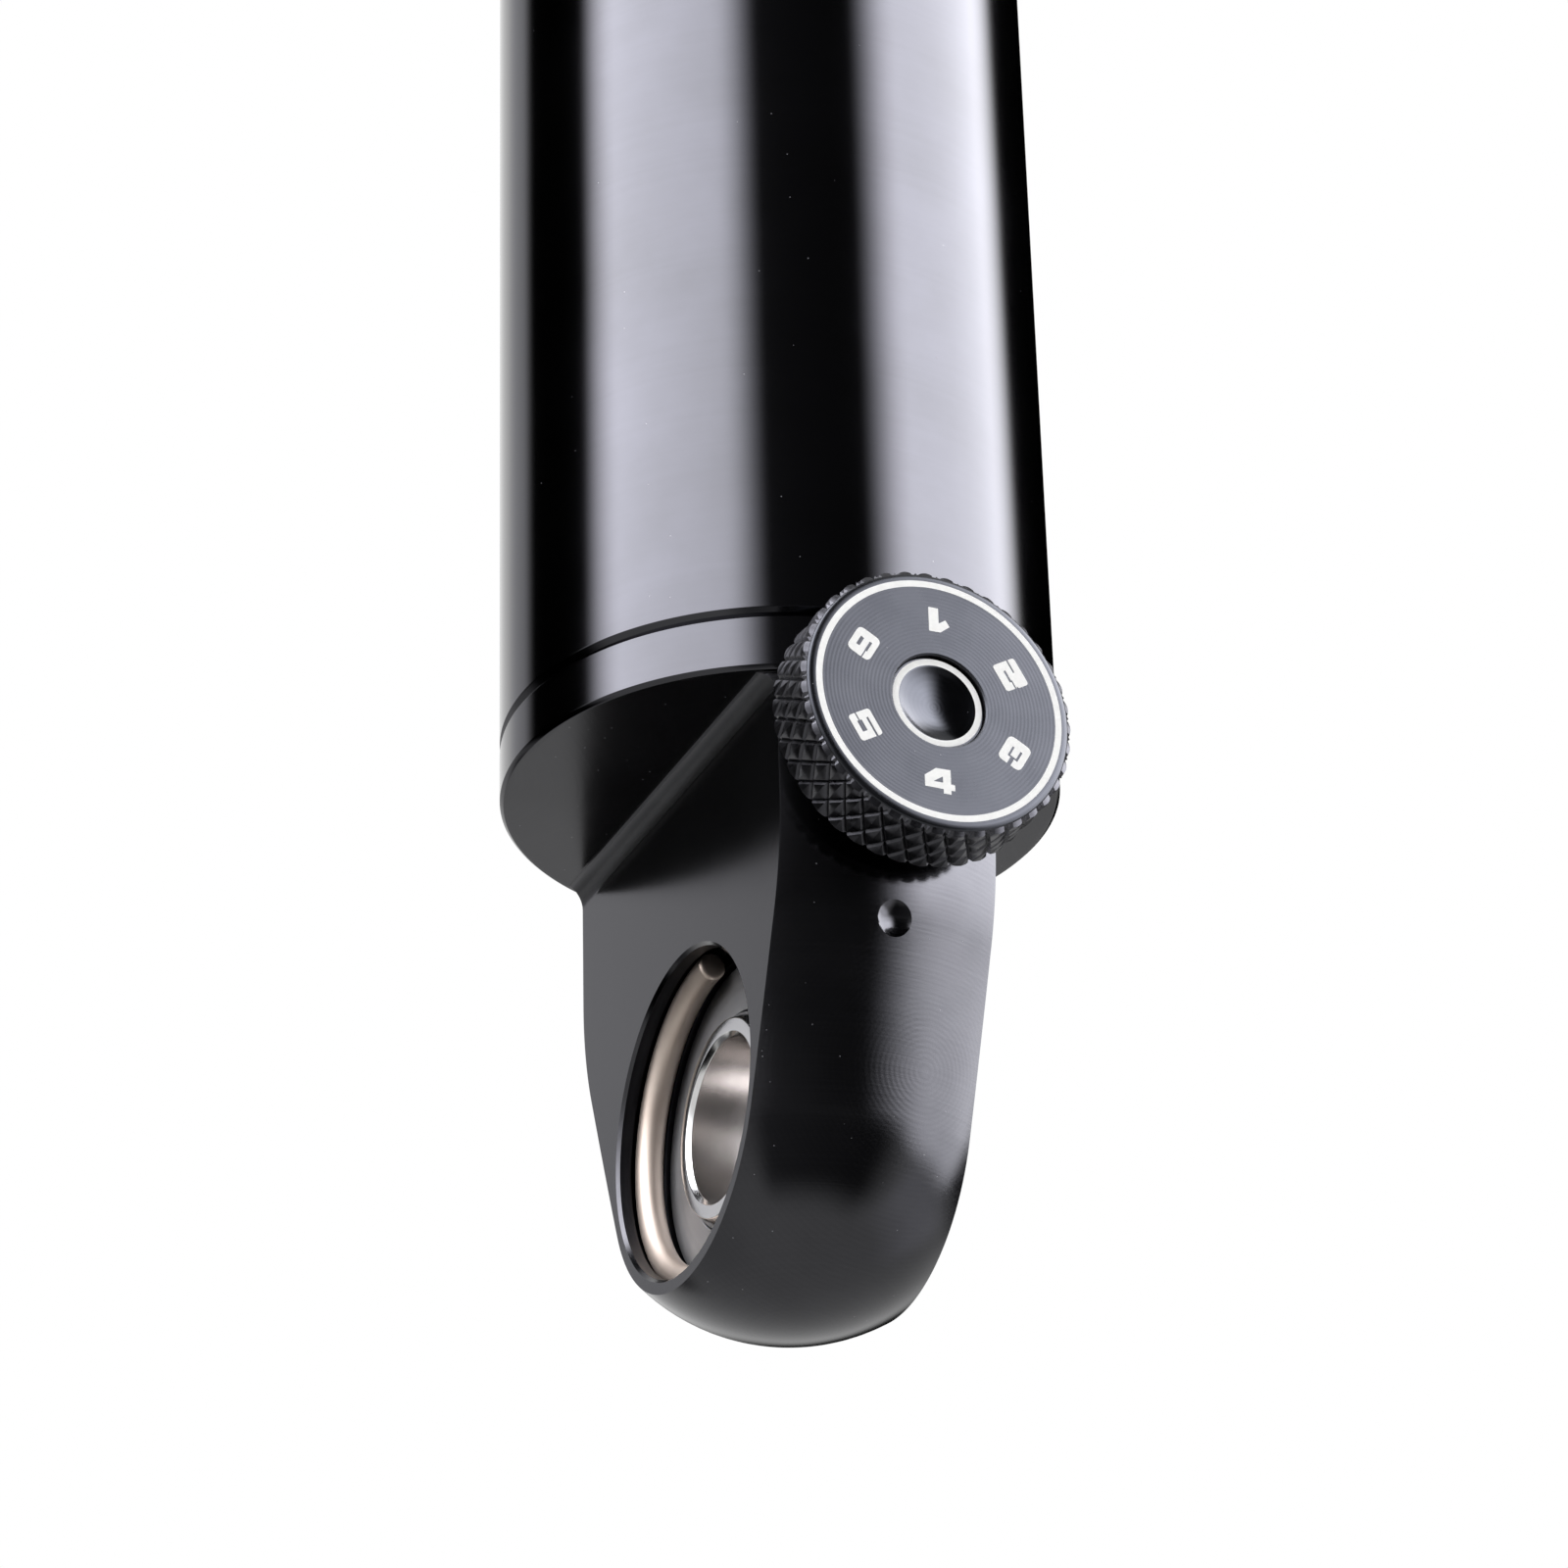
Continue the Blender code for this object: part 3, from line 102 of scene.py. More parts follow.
def block(left, right, bottom, top):
    return [(left, bottom), (right, bottom), (right, top), (left, top)]


def onCircle(radius, angle, height):
    return radius * mm * cos(angle), radius * mm * sin(angle), height * mm


def dishBall(radius, depth):
    # radius of the ball that leaves a dish this wide and deep
    return (radius ** 2 + depth ** 2) / (2 * depth)


def softened(outline, radius, steps=3):
    # rounds each corner off the axis like a deburred edge, and leaves the points of arcs alone
    look = meshLook
    made = []
    for i, point in enumerate(outline):
        here = Vector(point)
        before = Vector(outline[i - 1]) - here
        after = Vector(outline[(i + 1) % len(outline)]) - here
        corner = before.angle(after)
        if abs(here.x) < look["onAxis"] or degrees(corner) > look["smoothDeg"]:
            made.append(point)
            continue
        cut = min(radius / tan(corner / 2), look["cutShare"] * min(before.length, after.length))
        start = here + before.normalized() * cut
        end = here + after.normalized() * cut
        for step in range(steps + 1):
            t = step / steps
            made.append(tuple(start * (1 - t) ** 2 + here * 2 * t * (1 - t) + end * t ** 2))
    return made


def toMesh(bm, place):
    bmesh.ops.recalc_face_normals(bm, faces=bm.faces)
    bm.transform(place)
    mesh = bpy.data.meshes.new("piece")
    bm.to_mesh(mesh)
    bm.free()
    return mesh


def skin(bm, ring, other):
    # a band of faces between two rings of points; a ring of one point makes it a cone
    if len(ring) == 1 and len(other) == 1:
        return
    for j in range(max(len(ring), len(other))):
        k = j + 1
        corners = [ring[j % len(ring)], ring[k % len(ring)], other[k % len(other)], other[j % len(other)]]
        bm.faces.new(list(dict.fromkeys(corners)))


def lathe(outline, place, steps, ripple=None):
    # spins a closed outline round Z; ripple(angle, radius, height) may change a radius, as for grip ribs
    bm = bmesh.new()
    rings = []
    for radius, height in outline:
        if radius < meshLook["onAxis"]:
            rings.append([bm.verts.new((0, 0, height * mm))])
            continue
        ring = []
        for j in range(steps):
            angle = 2 * pi * j / steps
            wide = ripple(angle, radius, height) if ripple else radius
            ring.append(bm.verts.new(onCircle(wide, angle, height)))
        rings.append(ring)
    for ring, other in zip(rings, rings[1:] + rings[:1]):
        skin(bm, ring, other)
    return toMesh(bm, place)


def prism(outline, bottom, top, place):
    bm = bmesh.new()
    face = bm.faces.new([bm.verts.new((x * mm, y * mm, bottom * mm)) for x, y in outline])
    grown = bmesh.ops.extrude_face_region(bm, geom=[face])
    raised = [item for item in grown["geom"] if isinstance(item, bmesh.types.BMVert)]
    bmesh.ops.translate(bm, verts=raised, vec=(0, 0, (top - bottom) * mm))
    return toMesh(bm, place)


def joined(meshes):
    bm = bmesh.new()
    for mesh in meshes:
        bm.from_mesh(mesh)
    return toMesh(bm, shockPlace)


def addObject(name, data):
    made = bpy.data.objects.new(name, data)
    bpy.context.scene.collection.objects.link(made)
    return made


def carve(mesh, tools, operation="DIFFERENCE", edge=0.0):
    # cuts tools out of a blank or joins them to it, breaks its edges and welds slivers shut
    weld = meshLook["weld"] * mm
    blank = addObject("blank", mesh)
    helpers = [blank]
    for tool in tools:
        helpers.append(addObject("tool", tool))
        modifier = blank.modifiers.new("cut", "BOOLEAN")
        modifier.operation = operation
        modifier.solver = "EXACT"
        modifier.object = helpers[-1]
    if edge:
        modifier = blank.modifiers.new("edge", "BEVEL")
        modifier.width = edge * mm
        modifier.segments = 2
        modifier.limit_method = "ANGLE"
        modifier.angle_limit = radians(35)
    graph = bpy.context.evaluated_depsgraph_get()
    made = bpy.data.meshes.new_from_object(blank.evaluated_get(graph))
    for helper in helpers:
        bpy.data.objects.remove(helper)
    bm = bmesh.new()
    bm.from_mesh(made)
    bmesh.ops.remove_doubles(bm, verts=bm.verts, dist=weld)
    bmesh.ops.dissolve_degenerate(bm, edges=bm.edges, dist=weld)
    bmesh.ops.triangulate(bm, faces=[face for face in bm.faces if len(face.verts) > 4])
    bmesh.ops.dissolve_degenerate(bm, edges=bm.edges, dist=weld)
    return toMesh(bm, shockPlace)


def makePiece(name, mesh, body, slot, nodes=(), materials=None, sharp=38, choose=None):
    # an object of the visual model: it rides on a body, and stands for the nodes that it replaces.
    # It has its slot's finish, or finishes of its own that choose(centre, normal) picks from by number.
    mesh.name = name
    mesh.materials.clear()
    for material in materials or [slotFinish[slot]]:
        mesh.materials.append(material)
    for polygon in mesh.polygons:
        polygon.material_index = choose(polygon.center / mm, polygon.normal) if choose else 0
    mesh.shade_smooth()
    mesh.set_sharp_from_angle(angle=radians(sharp))
    piece = addObject(name, mesh)
    weighted = piece.modifiers.new("normals", "WEIGHTED_NORMAL")
    weighted.keep_sharp = True
    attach(piece, body)
    if nodes:
        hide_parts(*nodes)


# Material tools
def toLinear(code):
    parts = [int(code[i:i + 2], 16) / 255 for i in (1, 3, 5)]
    return tuple(c / 12.92 if c <= 0.04045 else ((c + 0.055) / 1.055) ** 2.4 for c in parts) + (1.0,)


def newMaterial(name):
    material = bpy.data.materials.new(name)
    material.use_nodes = True
    return material, material.node_tree


def setInputs(node, inputs):
    # a value is written on its socket, a socket is linked, and a node stands for its first output
    for key, value in inputs.items():
        if isinstance(value, bpy.types.Node):
            value = value.outputs[0]
        if isinstance(value, bpy.types.NodeSocket):
            node.id_data.links.new(value, node.inputs[key])
        else:
            node.inputs[key].default_value = value


def addNode(tree, kind, inputs=None, **settings):
    node = tree.nodes.new("ShaderNode" + kind)
    for key, value in settings.items():
        setattr(node, key, value)
    setInputs(node, inputs or {})
    return node


def perMetre(sizeMm):
    return 1 / (sizeMm * mm)


# A finish is a slow change of shade, then sets of tool lines, then a little dust where it shows.
# colours are its darkest and lightest shade, and rough its roughness and how far that strays. It is
# metal unless metallic says otherwise.
# A set of lines runs round an axis through a centre (mm); with no axis it is shells round that centre.
# mm is the spacing, shade how far it shifts the colour, heightMm its depth, even means a steady feed,
# grain means spots in place of lines, and reachMm how far from the centre the lines fade out.
def makeFinish(name, look):
    material, tree = newMaterial(name)
    shader = tree.nodes["Principled BSDF"]
    metallic = look.get("metallic", 1.0)
    setInputs(shader, {"Metallic": metallic, "Specular IOR Level": look.get("specular", 0.5)})
    place = addNode(tree, "TexCoord").outputs["Object"]
    shade = addNode(tree, "TexNoise", {"Vector": place, "Scale": perMetre(look["cloudMm"]),
                                       "Detail": 5.0, "Roughness": 0.55})
    bump = None
    for line in look["lines"]:
        axis = Vector(line["axis"])
        centre = Vector(line.get("centre", (0, 0, 0))) * mm
        scale = perMetre(line["mm"])
        moved = addNode(tree, "VectorMath", {0: place, 1: centre}, operation="SUBTRACT")
        flat = addNode(tree, "VectorMath", {0: moved, 1: Vector((1, 1, 1)) - axis}, operation="MULTIPLY")
        radius = addNode(tree, "VectorMath", {0: flat}, operation="LENGTH")
        along = addNode(tree, "VectorMath", {0: moved, 1: axis}, operation="DOT_PRODUCT")
        track = addNode(tree, "Math", {0: radius.outputs["Value"], 1: along.outputs["Value"]},
                        operation="ADD")
        if line.get("even"):
            phase = addNode(tree, "Math", {0: track, 1: 2 * pi * scale}, operation="MULTIPLY")
            wave = addNode(tree, "Math", {0: phase}, operation="SINE")
            level = addNode(tree, "MapRange", {"Value": wave, "From Min": -1.0})
        else:
            size, where = ("3D", {"Vector": moved}) if line.get("grain") else ("1D", {"W": track})
            where.update({"Scale": scale, "Detail": 3.0, "Roughness": 0.6})
            level = addNode(tree, "TexNoise", where, noise_dimensions=size)
        centred = addNode(tree, "Math", {0: level, 1: 0.5}, operation="SUBTRACT")
        shade = addNode(tree, "Math", {0: centred, 1: line["shade"], 2: shade}, operation="MULTIPLY_ADD")
        relief = {"Height": level, "Distance": line["heightMm"] * mm}
        if "reachMm" in line:
            reach = line["reachMm"] * mm
            relief["Strength"] = addNode(tree, "MapRange", {"Value": track, "From Min": reach,
                                                            "From Max": reach / 2})
        if bump:
            relief["Normal"] = bump
        bump = addNode(tree, "Bump", relief)
    mix = addNode(tree, "MapRange", {"Value": shade, "From Min": 0.3, "From Max": 0.7})
    dark, light = look["colours"]
    colour = addNode(tree, "Mix", {"Factor": mix, 6: toLinear(dark), 7: toLinear(light)},
                     data_type="RGBA").outputs[2]
    if "dust" in look:
        dust = look["dust"]
        cells = addNode(tree, "TexVoronoi", {"Vector": place, "Scale": perMetre(dust["mm"])})
        speck = addNode(tree, "Math", {0: cells, 1: dust["size"]}, operation="LESS_THAN")
        rare = addNode(tree, "SeparateColor", {"Color": cells.outputs["Color"]})
        some = addNode(tree, "Math", {0: rare, 1: dust["rare"]}, operation="GREATER_THAN")
        dusty = addNode(tree, "Math", {0: speck, 1: some}, operation="MULTIPLY")
        colour = addNode(tree, "Mix", {"Factor": dusty, 6: colour, 7: toLinear(dust["colour"])},
                         data_type="RGBA").outputs[2]
        bare = addNode(tree, "Math", {0: dusty, 1: -metallic, 2: metallic}, operation="MULTIPLY_ADD")
        setInputs(shader, {"Metallic": bare})
    rough, stray = look["rough"]
    roughness = addNode(tree, "MapRange", {"Value": shade, "From Min": 0.25, "From Max": 0.75,
                                           "To Min": rough - stray, "To Max": rough + stray})
    setInputs(shader, {"Base Color": colour, "Roughness": roughness, "Normal": bump})
    return material


shockAxis, eyeAxis, dialAxis, noAxis = (0, 0, 1), (1, 0, 0), (0, 1, 0), (0, 0, 0)
dialRings = {"axis": dialAxis, "centre": (0, 0, dialZ)}
lugDust = {"colour": "#6a6a6e", "mm": 0.77, "size": 0.06, "rare": 0.8}
dialDust = {"colour": "#626266", "mm": 1.0, "size": 0.04, "rare": 0.6}

# Black anodised aluminium tube, polished before anodising: deep black mirror, barely any lines, stray dust
tubeBlack = makeFinish("blackAnodisedPolishedTube", {
    "colours": ("#353537", "#3a3a3d"), "rough": (0.1, 0.012), "cloudMm": 14.0,
    "lines": [{"axis": shockAxis, "mm": 0.6, "shade": 0.12, "heightMm": 0.0004}],
    "dust": {"colour": "#6a6a6e", "mm": 1.2, "size": 0.045, "rare": 0.85}})

# The same metal left as it came off the lathe: satin black with the tool's feed lines, a fine grain, and
# the arcs that a trembling tool leaves low on the front of the lug. The arcs are really about 0.2 mm
# apart and are drawn twice as coarse, or they would not show.
lugTurned = makeFinish("blackAnodisedTurnedLug", {
    "colours": ("#343436", "#3a3a3c"), "rough": (0.16, 0.025), "cloudMm": 7.0,
    "lines": [{"axis": shockAxis, "mm": 0.35, "shade": 0.3, "heightMm": 0.0026},
              {"axis": noAxis, "mm": 0.25, "shade": 0.1, "heightMm": 0.0022, "grain": True},
              {"axis": noAxis, "centre": (3.6, -15.8, -1.7), "mm": 0.4, "shade": 0.1, "heightMm": 0.0016,
               "even": True, "reachMm": 6.5}],
    "dust": lugDust})

# Milled faces of the lug: smoother, with long arcs left by the cutter's edge
lugMilled = makeFinish("blackAnodisedMilledFlat", {
    "colours": ("#333335", "#38383a"), "rough": (0.2, 0.02), "cloudMm": 9.0,
    "lines": [{"axis": eyeAxis, "centre": (0, 6, 34), "mm": 0.4, "shade": 0.4, "heightMm": 0.0022}],
    "dust": lugDust})

# Fillets under the shoulder, left by a ball cutter: duller, and coloured lighter than the rest of the lug's
# black as a painted highlight, so they catch light as a soft line
lugFilletPaintedHighlight = makeFinish("blackAnodisedMilledFilletPaintedHighlight", {
    "colours": ("#464648", "#4d4d4f"), "rough": (0.4, 0.03), "cloudMm": 6.0,
    "lines": [{"axis": dialAxis, "mm": 0.5, "shade": 0.2, "heightMm": 0.0015}]})

# Bores and grooves: the same black anodising, given a darker colour as painted shade because they are seen
# only in shade
boreBlackPaintedShade = makeFinish("blackAnodisedBorePaintedShade", {
    "colours": ("#232325", "#2b2b2e"), "rough": (0.35, 0.05), "cloudMm": 5.0,
    "lines": [{"axis": eyeAxis, "mm": 0.3, "shade": 0.4, "heightMm": 0.002}]})

# Dial face: black anodised, faced on the lathe with a steady feed, so fine rings run round its middle.
# The real rings, here and in the dish, are about 0.15 mm apart and are drawn twice as coarse, or they
# would not show.
dialFaced = makeFinish("blackAnodisedFacedDial", {
    "colours": ("#2c2d30", "#323336"), "rough": (0.28, 0.02), "cloudMm": 4.0,
    "lines": [{**dialRings, "mm": 0.3, "shade": 0.08, "heightMm": 0.0017, "even": True}],
    "dust": dialDust})

# Dished middle of the dial: the same black, polished, so it holds a clear small image of the light
dishPolished = makeFinish("blackAnodisedPolishedDish", {
    "colours": ("#2c2d30", "#323336"), "rough": (0.15, 0.02), "cloudMm": 4.0,
    "lines": [{**dialRings, "mm": 0.3, "shade": 0.08, "heightMm": 0.0011, "even": True}],
    "dust": dialDust})

# Knurl: rolled diamonds, burnished a little by fingers
dialKnurl = makeFinish("blackAnodisedKnurl", {
    "colours": ("#343437", "#404043"), "rough": (0.3, 0.05), "cloudMm": 0.9,
    "lines": [{**dialRings, "mm": 0.3, "shade": 0.2, "heightMm": 0.002}],
    "dust": {"colour": "#77787c", "mm": 0.9, "size": 0.03, "rare": 0.7}})

# White enamel run into the dial's shallow marks: matt, a little uneven
whiteEnamel = makeFinish("whiteEnamelInlay", {
    "colours": ("#e9e9e7", "#f2f2f0"), "metallic": 0.0, "rough": (0.7, 0.08), "cloudMm": 0.6, "specular": 0.1,
    "lines": [{**dialRings, "mm": 0.2, "shade": 0.3, "heightMm": 0.002}]})

# Bearing race, hardened steel, blasted and oiled: satin grey
raceSteel = makeFinish("blastedBearingSteel", {
    "colours": ("#8e8e8f", "#9c9c9c"), "rough": (0.5, 0.04), "cloudMm": 5.0,
    "lines": [{"axis": eyeAxis, "mm": 0.4, "shade": 0.25, "heightMm": 0.0008}]})

# Bearing ball, chromed and lapped: bright, with faint rings
ballSteel = makeFinish("lappedChromeSteel", {
    "colours": ("#bdbdbc", "#c9c9c8"), "rough": (0.16, 0.04), "cloudMm": 4.0,
    "lines": [{"axis": eyeAxis, "mm": 0.25, "shade": 0.5, "heightMm": 0.0006}]})

# Bore of the ball, reamed and not lapped: satin, with rings
boreSteel = makeFinish("reamedSteelBore", {
    "colours": ("#a8a4a1", "#b6b2af"), "rough": (0.24, 0.03), "cloudMm": 6.0,
    "lines": [{"axis": eyeAxis, "mm": 0.7, "shade": 0.25, "heightMm": 0.0006}]})

# Snap ring, drawn spring wire, bare and oiled: warm grey
springSteel = makeFinish("drawnSpringWire", {
    "colours": ("#9c9086", "#aba096"), "rough": (0.5, 0.03), "cloudMm": 6.0,
    "lines": [{"axis": eyeAxis, "mm": 0.6, "shade": 0.2, "heightMm": 0.0005}]})

# Damper tube, hard anodised clear and burnished: grey, with fine lines round it
clearAnodised = makeFinish("clearAnodisedBurnishedTube", {
    "colours": ("#74767a", "#808286"), "rough": (0.36, 0.03), "cloudMm": 9.0,
    "lines": [{"axis": shockAxis, "mm": 0.35, "shade": 0.4, "heightMm": 0.0008}]})

# Ground steel: bright grey with grinding lines
groundSteel = makeFinish("groundSteel", {
    "colours": ("#9d9e9f", "#b4b5b6"), "rough": (0.24, 0.05), "cloudMm": 3.0,
    "lines": [{"axis": shockAxis, "mm": 0.2, "shade": 0.5, "heightMm": 0.0008}]})

# Turned brass: yellow, with tool lines
brassTurned = makeFinish("turnedBrass", {
    "colours": ("#b3914f", "#c8a965"), "rough": (0.28, 0.06), "cloudMm": 2.5,
    "lines": [{"axis": shockAxis, "mm": 0.2, "shade": 0.5, "heightMm": 0.001}]})

# Sintered bronze bushing: brown, porous and dull
bronzeSintered = makeFinish("sinteredBronze", {
    "colours": ("#7c5a38", "#9a7650"), "rough": (0.45, 0.08), "cloudMm": 0.8,
    "lines": [{"axis": shockAxis, "mm": 0.3, "shade": 0.3, "heightMm": 0.002}]})

# Nitrile rubber, moulded: near black, dull, with a bloom that varies
rubberMoulded = makeFinish("mouldedNitrileRubber", {
    "colours": ("#141414", "#232324"), "metallic": 0.0, "rough": (0.62, 0.1), "cloudMm": 2.0,
    "lines": [{"axis": shockAxis, "mm": 0.6, "shade": 0.3, "heightMm": 0.004}],
    "dust": {"colour": "#5c5c5c", "mm": 2.0, "size": 0.03, "rare": 0.6}})

# Polyurethane bumper, cast: mid grey and waxy
urethaneCast = makeFinish("castPolyurethane", {
    "colours": ("#6f7072", "#838486"), "metallic": 0.0, "rough": (0.5, 0.08), "cloudMm": 3.0,
    "lines": [{"axis": shockAxis, "mm": 0.8, "shade": 0.3, "heightMm": 0.004}]})

# Nylon valve cap, moulded: black with a fine spark-eroded grain
nylonMoulded = makeFinish("mouldedBlackNylon", {
    "colours": ("#161617", "#212123"), "metallic": 0.0, "rough": (0.46, 0.08), "cloudMm": 0.5,
    "lines": [{"axis": noAxis, "mm": 0.5, "shade": 0.3, "heightMm": 0.004}]})
print("finishes made:", len(bpy.data.materials))

# CAD nodes that stay get the finish of their slot
slotFinish = {
    "gloss_black_anodised": tubeBlack, "satin_black_anodised": lugTurned, "clear_anodised": clearAnodised,
    "bearing_steel": raceSteel, "ball_steel": ballSteel, "spring_steel": springSteel,
    "ground_steel": groundSteel, "brass": brassTurned, "bronze_bushing": bronzeSintered,
    "black_rubber": rubberMoulded, "grey_elastomer": urethaneCast, "black_plastic": nylonMoulded}
for node in frame["nodes"].values():
    for materialSlot in node.material_slots:
        materialSlot.material = slotFinish[materialSlot.material.name.split(".")[0]]
print("frame nodes dressed")

# Eyelet lugs: a bullet nose turned on the shock's axis, milled flat on both sides and bored for the bearing
lugLook = {"thickness": 17.76, "noseDrop": 0.2, "taper": 17.5, "coneRows": 9, "blend": 29.5,
           "blendShare": 0.8, "fillet": 1.6, "ringBite": 0.8, "ringWire": 2.2, "boreChamfer": 0.25,
           "boreReach": 1.2, "boreInset": 0.3, "nearFlat": 0.05, "steps": 192}
lugHalf = lugLook["thickness"] / 2
eyeRadius = high("lower_bearing_race", "y") + fitGap
noseRadius = -low("eyelet_cap", "z") - lugLook["noseDrop"]
raceHalf = high("lower_bearing_race", "x")
ringMiddle = eyeRadius + lugLook["ringBite"] - lugLook["ringWire"] / 2
ringOffset = raceHalf + 2 * fitGap + lugLook["ringWire"] / 2


def lugOutline(straight):
    # nose tip at the bottom, eyelet's centre at height 0, up to where the straight part starts
    look = lugLook
    taper = radians(look["taper"])
    middle = -look["noseDrop"]
    corner = middle + (straight - noseRadius / cos(taper)) / tan(taper)
    noseEnd = middle - noseRadius * sin(taper)
    tangent = min(look["blend"] * tan(taper / 2),
                  look["blendShare"] * (corner - noseEnd) / cos(taper))
    blend = tangent / tan(taper / 2)
    nose = arc(0, middle, noseRadius, -90, -look["taper"], steps=28)
    bend = arc(straight - blend, corner + tangent, blend, -look["taper"], 0, steps=14)
    start, end = Vector(nose[-1]), Vector(bend[0])
    cone = [tuple(start.lerp(end, k / look["coneRows"])) for k in range(1, look["coneRows"])]
    return nose + cone + bend


def radiusAt(outline, height):
    for (r0, z0), (r1, z1) in zip(outline, outline[1:]):
        if min(z0, z1) <= height <= max(z0, z1) and z0 != z1:
            return r0 + (r1 - r0) * (height - z0) / (z1 - z0)
    return outline[-1][0]


def lugCutters(shoulder, tip, reach, eyePlace):
    # both flats, each with its fillet under the shoulder, and the bearing bore with its ring grooves
    look = lugLook
    toTip = 1 if tip > shoulder else -1
    radius = look["fillet"]
    fillet = [(x, shoulder + toTip * y) for x, y in
              arc(lugHalf + radius, radius, radius, 180, 270, steps=10)]
    side = [(lugHalf, tip)] + fillet + [(reach, shoulder), (reach, tip)]
    cutters = [prism([(sign * x, z) for x, z in side], -reach, reach, flatPlace) for sign in (1, -1)]
    groove = eyeRadius + look["ringBite"] + fitGap
    near = ringOffset - look["ringWire"] / 2 - fitGap
    far = ringOffset + look["ringWire"] / 2 + fitGap
    mouth = lugHalf + overrun
    wide = eyeRadius + look["boreChamfer"] + overrun
    upper = [(eyeRadius, near), (groove, near), (groove, far), (eyeRadius, far),
             (eyeRadius, lugHalf - look["boreChamfer"]), (wide, mouth), (0, mouth)]
    lower = [(r, -z) for r, z in reversed(upper)]
    return cutters + [lathe(lower + upper, eyePlace, look["steps"])]


def onFlat(centre, normal, facing):
    return abs(normal.x) > facing and abs(abs(centre.x) - lugHalf) < lugLook["nearFlat"]


def inEye(centre, eyeZ):
    fromAxis = Vector((centre.y, centre.z - eyeZ)).length
    return fromAxis < eyeRadius + lugLook["boreReach"] and abs(centre.x) < lugHalf - lugLook["boreInset"]


# End cap: the lug, the polished ring that carries the can, and the spigot inside it
capLook = {"ringHeight": 4.2, "ringChamfer": 0.3, "ringInset": 0.1, "step": 0.67, "seam": 0.06, "edge": 0.08,
           "spigotWall": 2.3, "shaftBore": 5.3, "socketFloor": 30.74, "rodBore": 2.1, "spindleBore": 5.0,
           "spindleReach": (-10, 20), "markDistance": 14.4, "markWidth": 2.6, "markDepth": 0.37,
           "facing": 0.99, "upright": 0.05, "filletReach": 2.0}
canRadius = high("air_can", "x")
capTop = low("air_can", "z") - capLook["seam"]
capUnder = low("air_can", "z") - fitGap - capLook["ringHeight"]
spigotTop = high("eyelet_cap", "z")


def makeEyeletCap():
    look = capLook
    turned = canRadius - look["step"]
    spigot = canRadius - look["spigotWall"]
    nose = lugOutline(turned)
    outline = nose + [
        (turned, capUnder), (canRadius - look["ringChamfer"], capUnder),
        (canRadius, capUnder + look["ringChamfer"]), (canRadius, capTop), (spigot, capTop),
        (spigot, spigotTop), (look["shaftBore"], spigotTop), (look["shaftBore"], look["socketFloor"]),
        (look["rodBore"], look["socketFloor"]), (look["rodBore"], dialZ), (0, dialZ)]
    blank = lathe(softened(outline, look["edge"]), shockPlace, lugLook["steps"])
    tools = lugCutters(capUnder, -noseRadius - overrun, canRadius + overrun, lowerEye)
    spindle = block(0, look["spindleBore"], *look["spindleReach"])
    tools.append(lathe(spindle, dialPlace, steps=64))
    ball = dishBall(look["markWidth"] / 2, look["markDepth"])
    markZ = dialZ - look["markDistance"]
    markY = radiusAt(nose + [(turned, capUnder)], markZ) - look["markDepth"] + ball
    markPlace = Matrix.Translation((0, -markY * mm, markZ * mm)) @ flatPlace
    tools.append(lathe(arc(0, 0, ball, -90, 90, steps=24), markPlace, steps=48))

    def choose(centre, normal):
        atShoulder = centre.z > capUnder - look["filletReach"]
        if centre.z > capUnder and Vector(centre.xy).length > turned + look["ringInset"]:
            return 2
        if onFlat(centre, normal, look["facing"]) or normal.z < -look["facing"] and atShoulder:
            return 1
        onFillet = abs(normal.y) < look["upright"] and 0 < abs(centre.x) - lugHalf < look["filletReach"]
        # fillet faces take the lighter black, a painted highlight
        if onFillet and atShoulder and centre.z < capUnder:
            return 4
        # bore faces take the darker black, painted shade
        return 3 if inEye(centre, 0) else 0

    makePiece("eyeletCap", carve(blank, tools), "can", "satin_black_anodised",
              ["eyelet_cap"], [lugTurned, lugMilled, tubeBlack, boreBlackPaintedShade, lugFilletPaintedHighlight],
              sharp=24, choose=choose)


# Upper eyelet: the same lug on a skirt that takes the damper body, with a countersunk hole for the gas plug
upperLook = {"shoulderDrop": 3.75, "skirtChamfer": 0.8, "edge": 0.1, "facing": 0.97, "plugFloor": 8.0,
             "plugGap": 0.2, "sinkDepth": 0.7, "sink": 0.5}


def makeUpperEyelet():
    look = upperLook
    skirt, bottom = high("upper_eyelet", "y"), low("upper_eyelet", "z")
    damper, gasTop = high("damper_body", "x") + fitGap, high("damper_body", "z") + fitGap
    nose = [(r, upperEyeZ - z) for r, z in reversed(lugOutline(skirt))]
    outline = [(0, gasTop), (damper, gasTop), (damper, bottom), (skirt - look["skirtChamfer"], bottom),
               (skirt, bottom + look["skirtChamfer"])] + nose
    blank = lathe(softened(outline, look["edge"]), shockPlace, lugLook["steps"])
    shoulder = upperEyeZ - eyeRadius - look["shoulderDrop"]
    tools = lugCutters(shoulder, upperEyeZ + noseRadius + overrun, skirt + overrun, upperEye)
    hole = high("gas_fill_plug", "x") + look["plugGap"]
    seat = skirt - look["sinkDepth"]
    plugHole = [(0, look["plugFloor"]), (hole, look["plugFloor"]), (hole, seat),
                (hole + look["sink"], seat + look["sink"]), (hole + look["sink"], skirt + overrun),
                (0, skirt + overrun)]
    tools.append(lathe(plugHole, plugPlace, steps=64))

    def choose(centre, normal):
        if onFlat(centre, normal, look["facing"]):
            return 1
        # bore faces take the darker black, painted shade
        return 2 if inEye(centre, upperEyeZ) else 0

    makePiece("upperEyelet", carve(blank, tools), "damper", "satin_black_anodised",
              ["upper_eyelet"], [lugTurned, lugMilled, boreBlackPaintedShade], choose=choose)


makeEyeletCap()
makeUpperEyelet()
print("eyelets made")

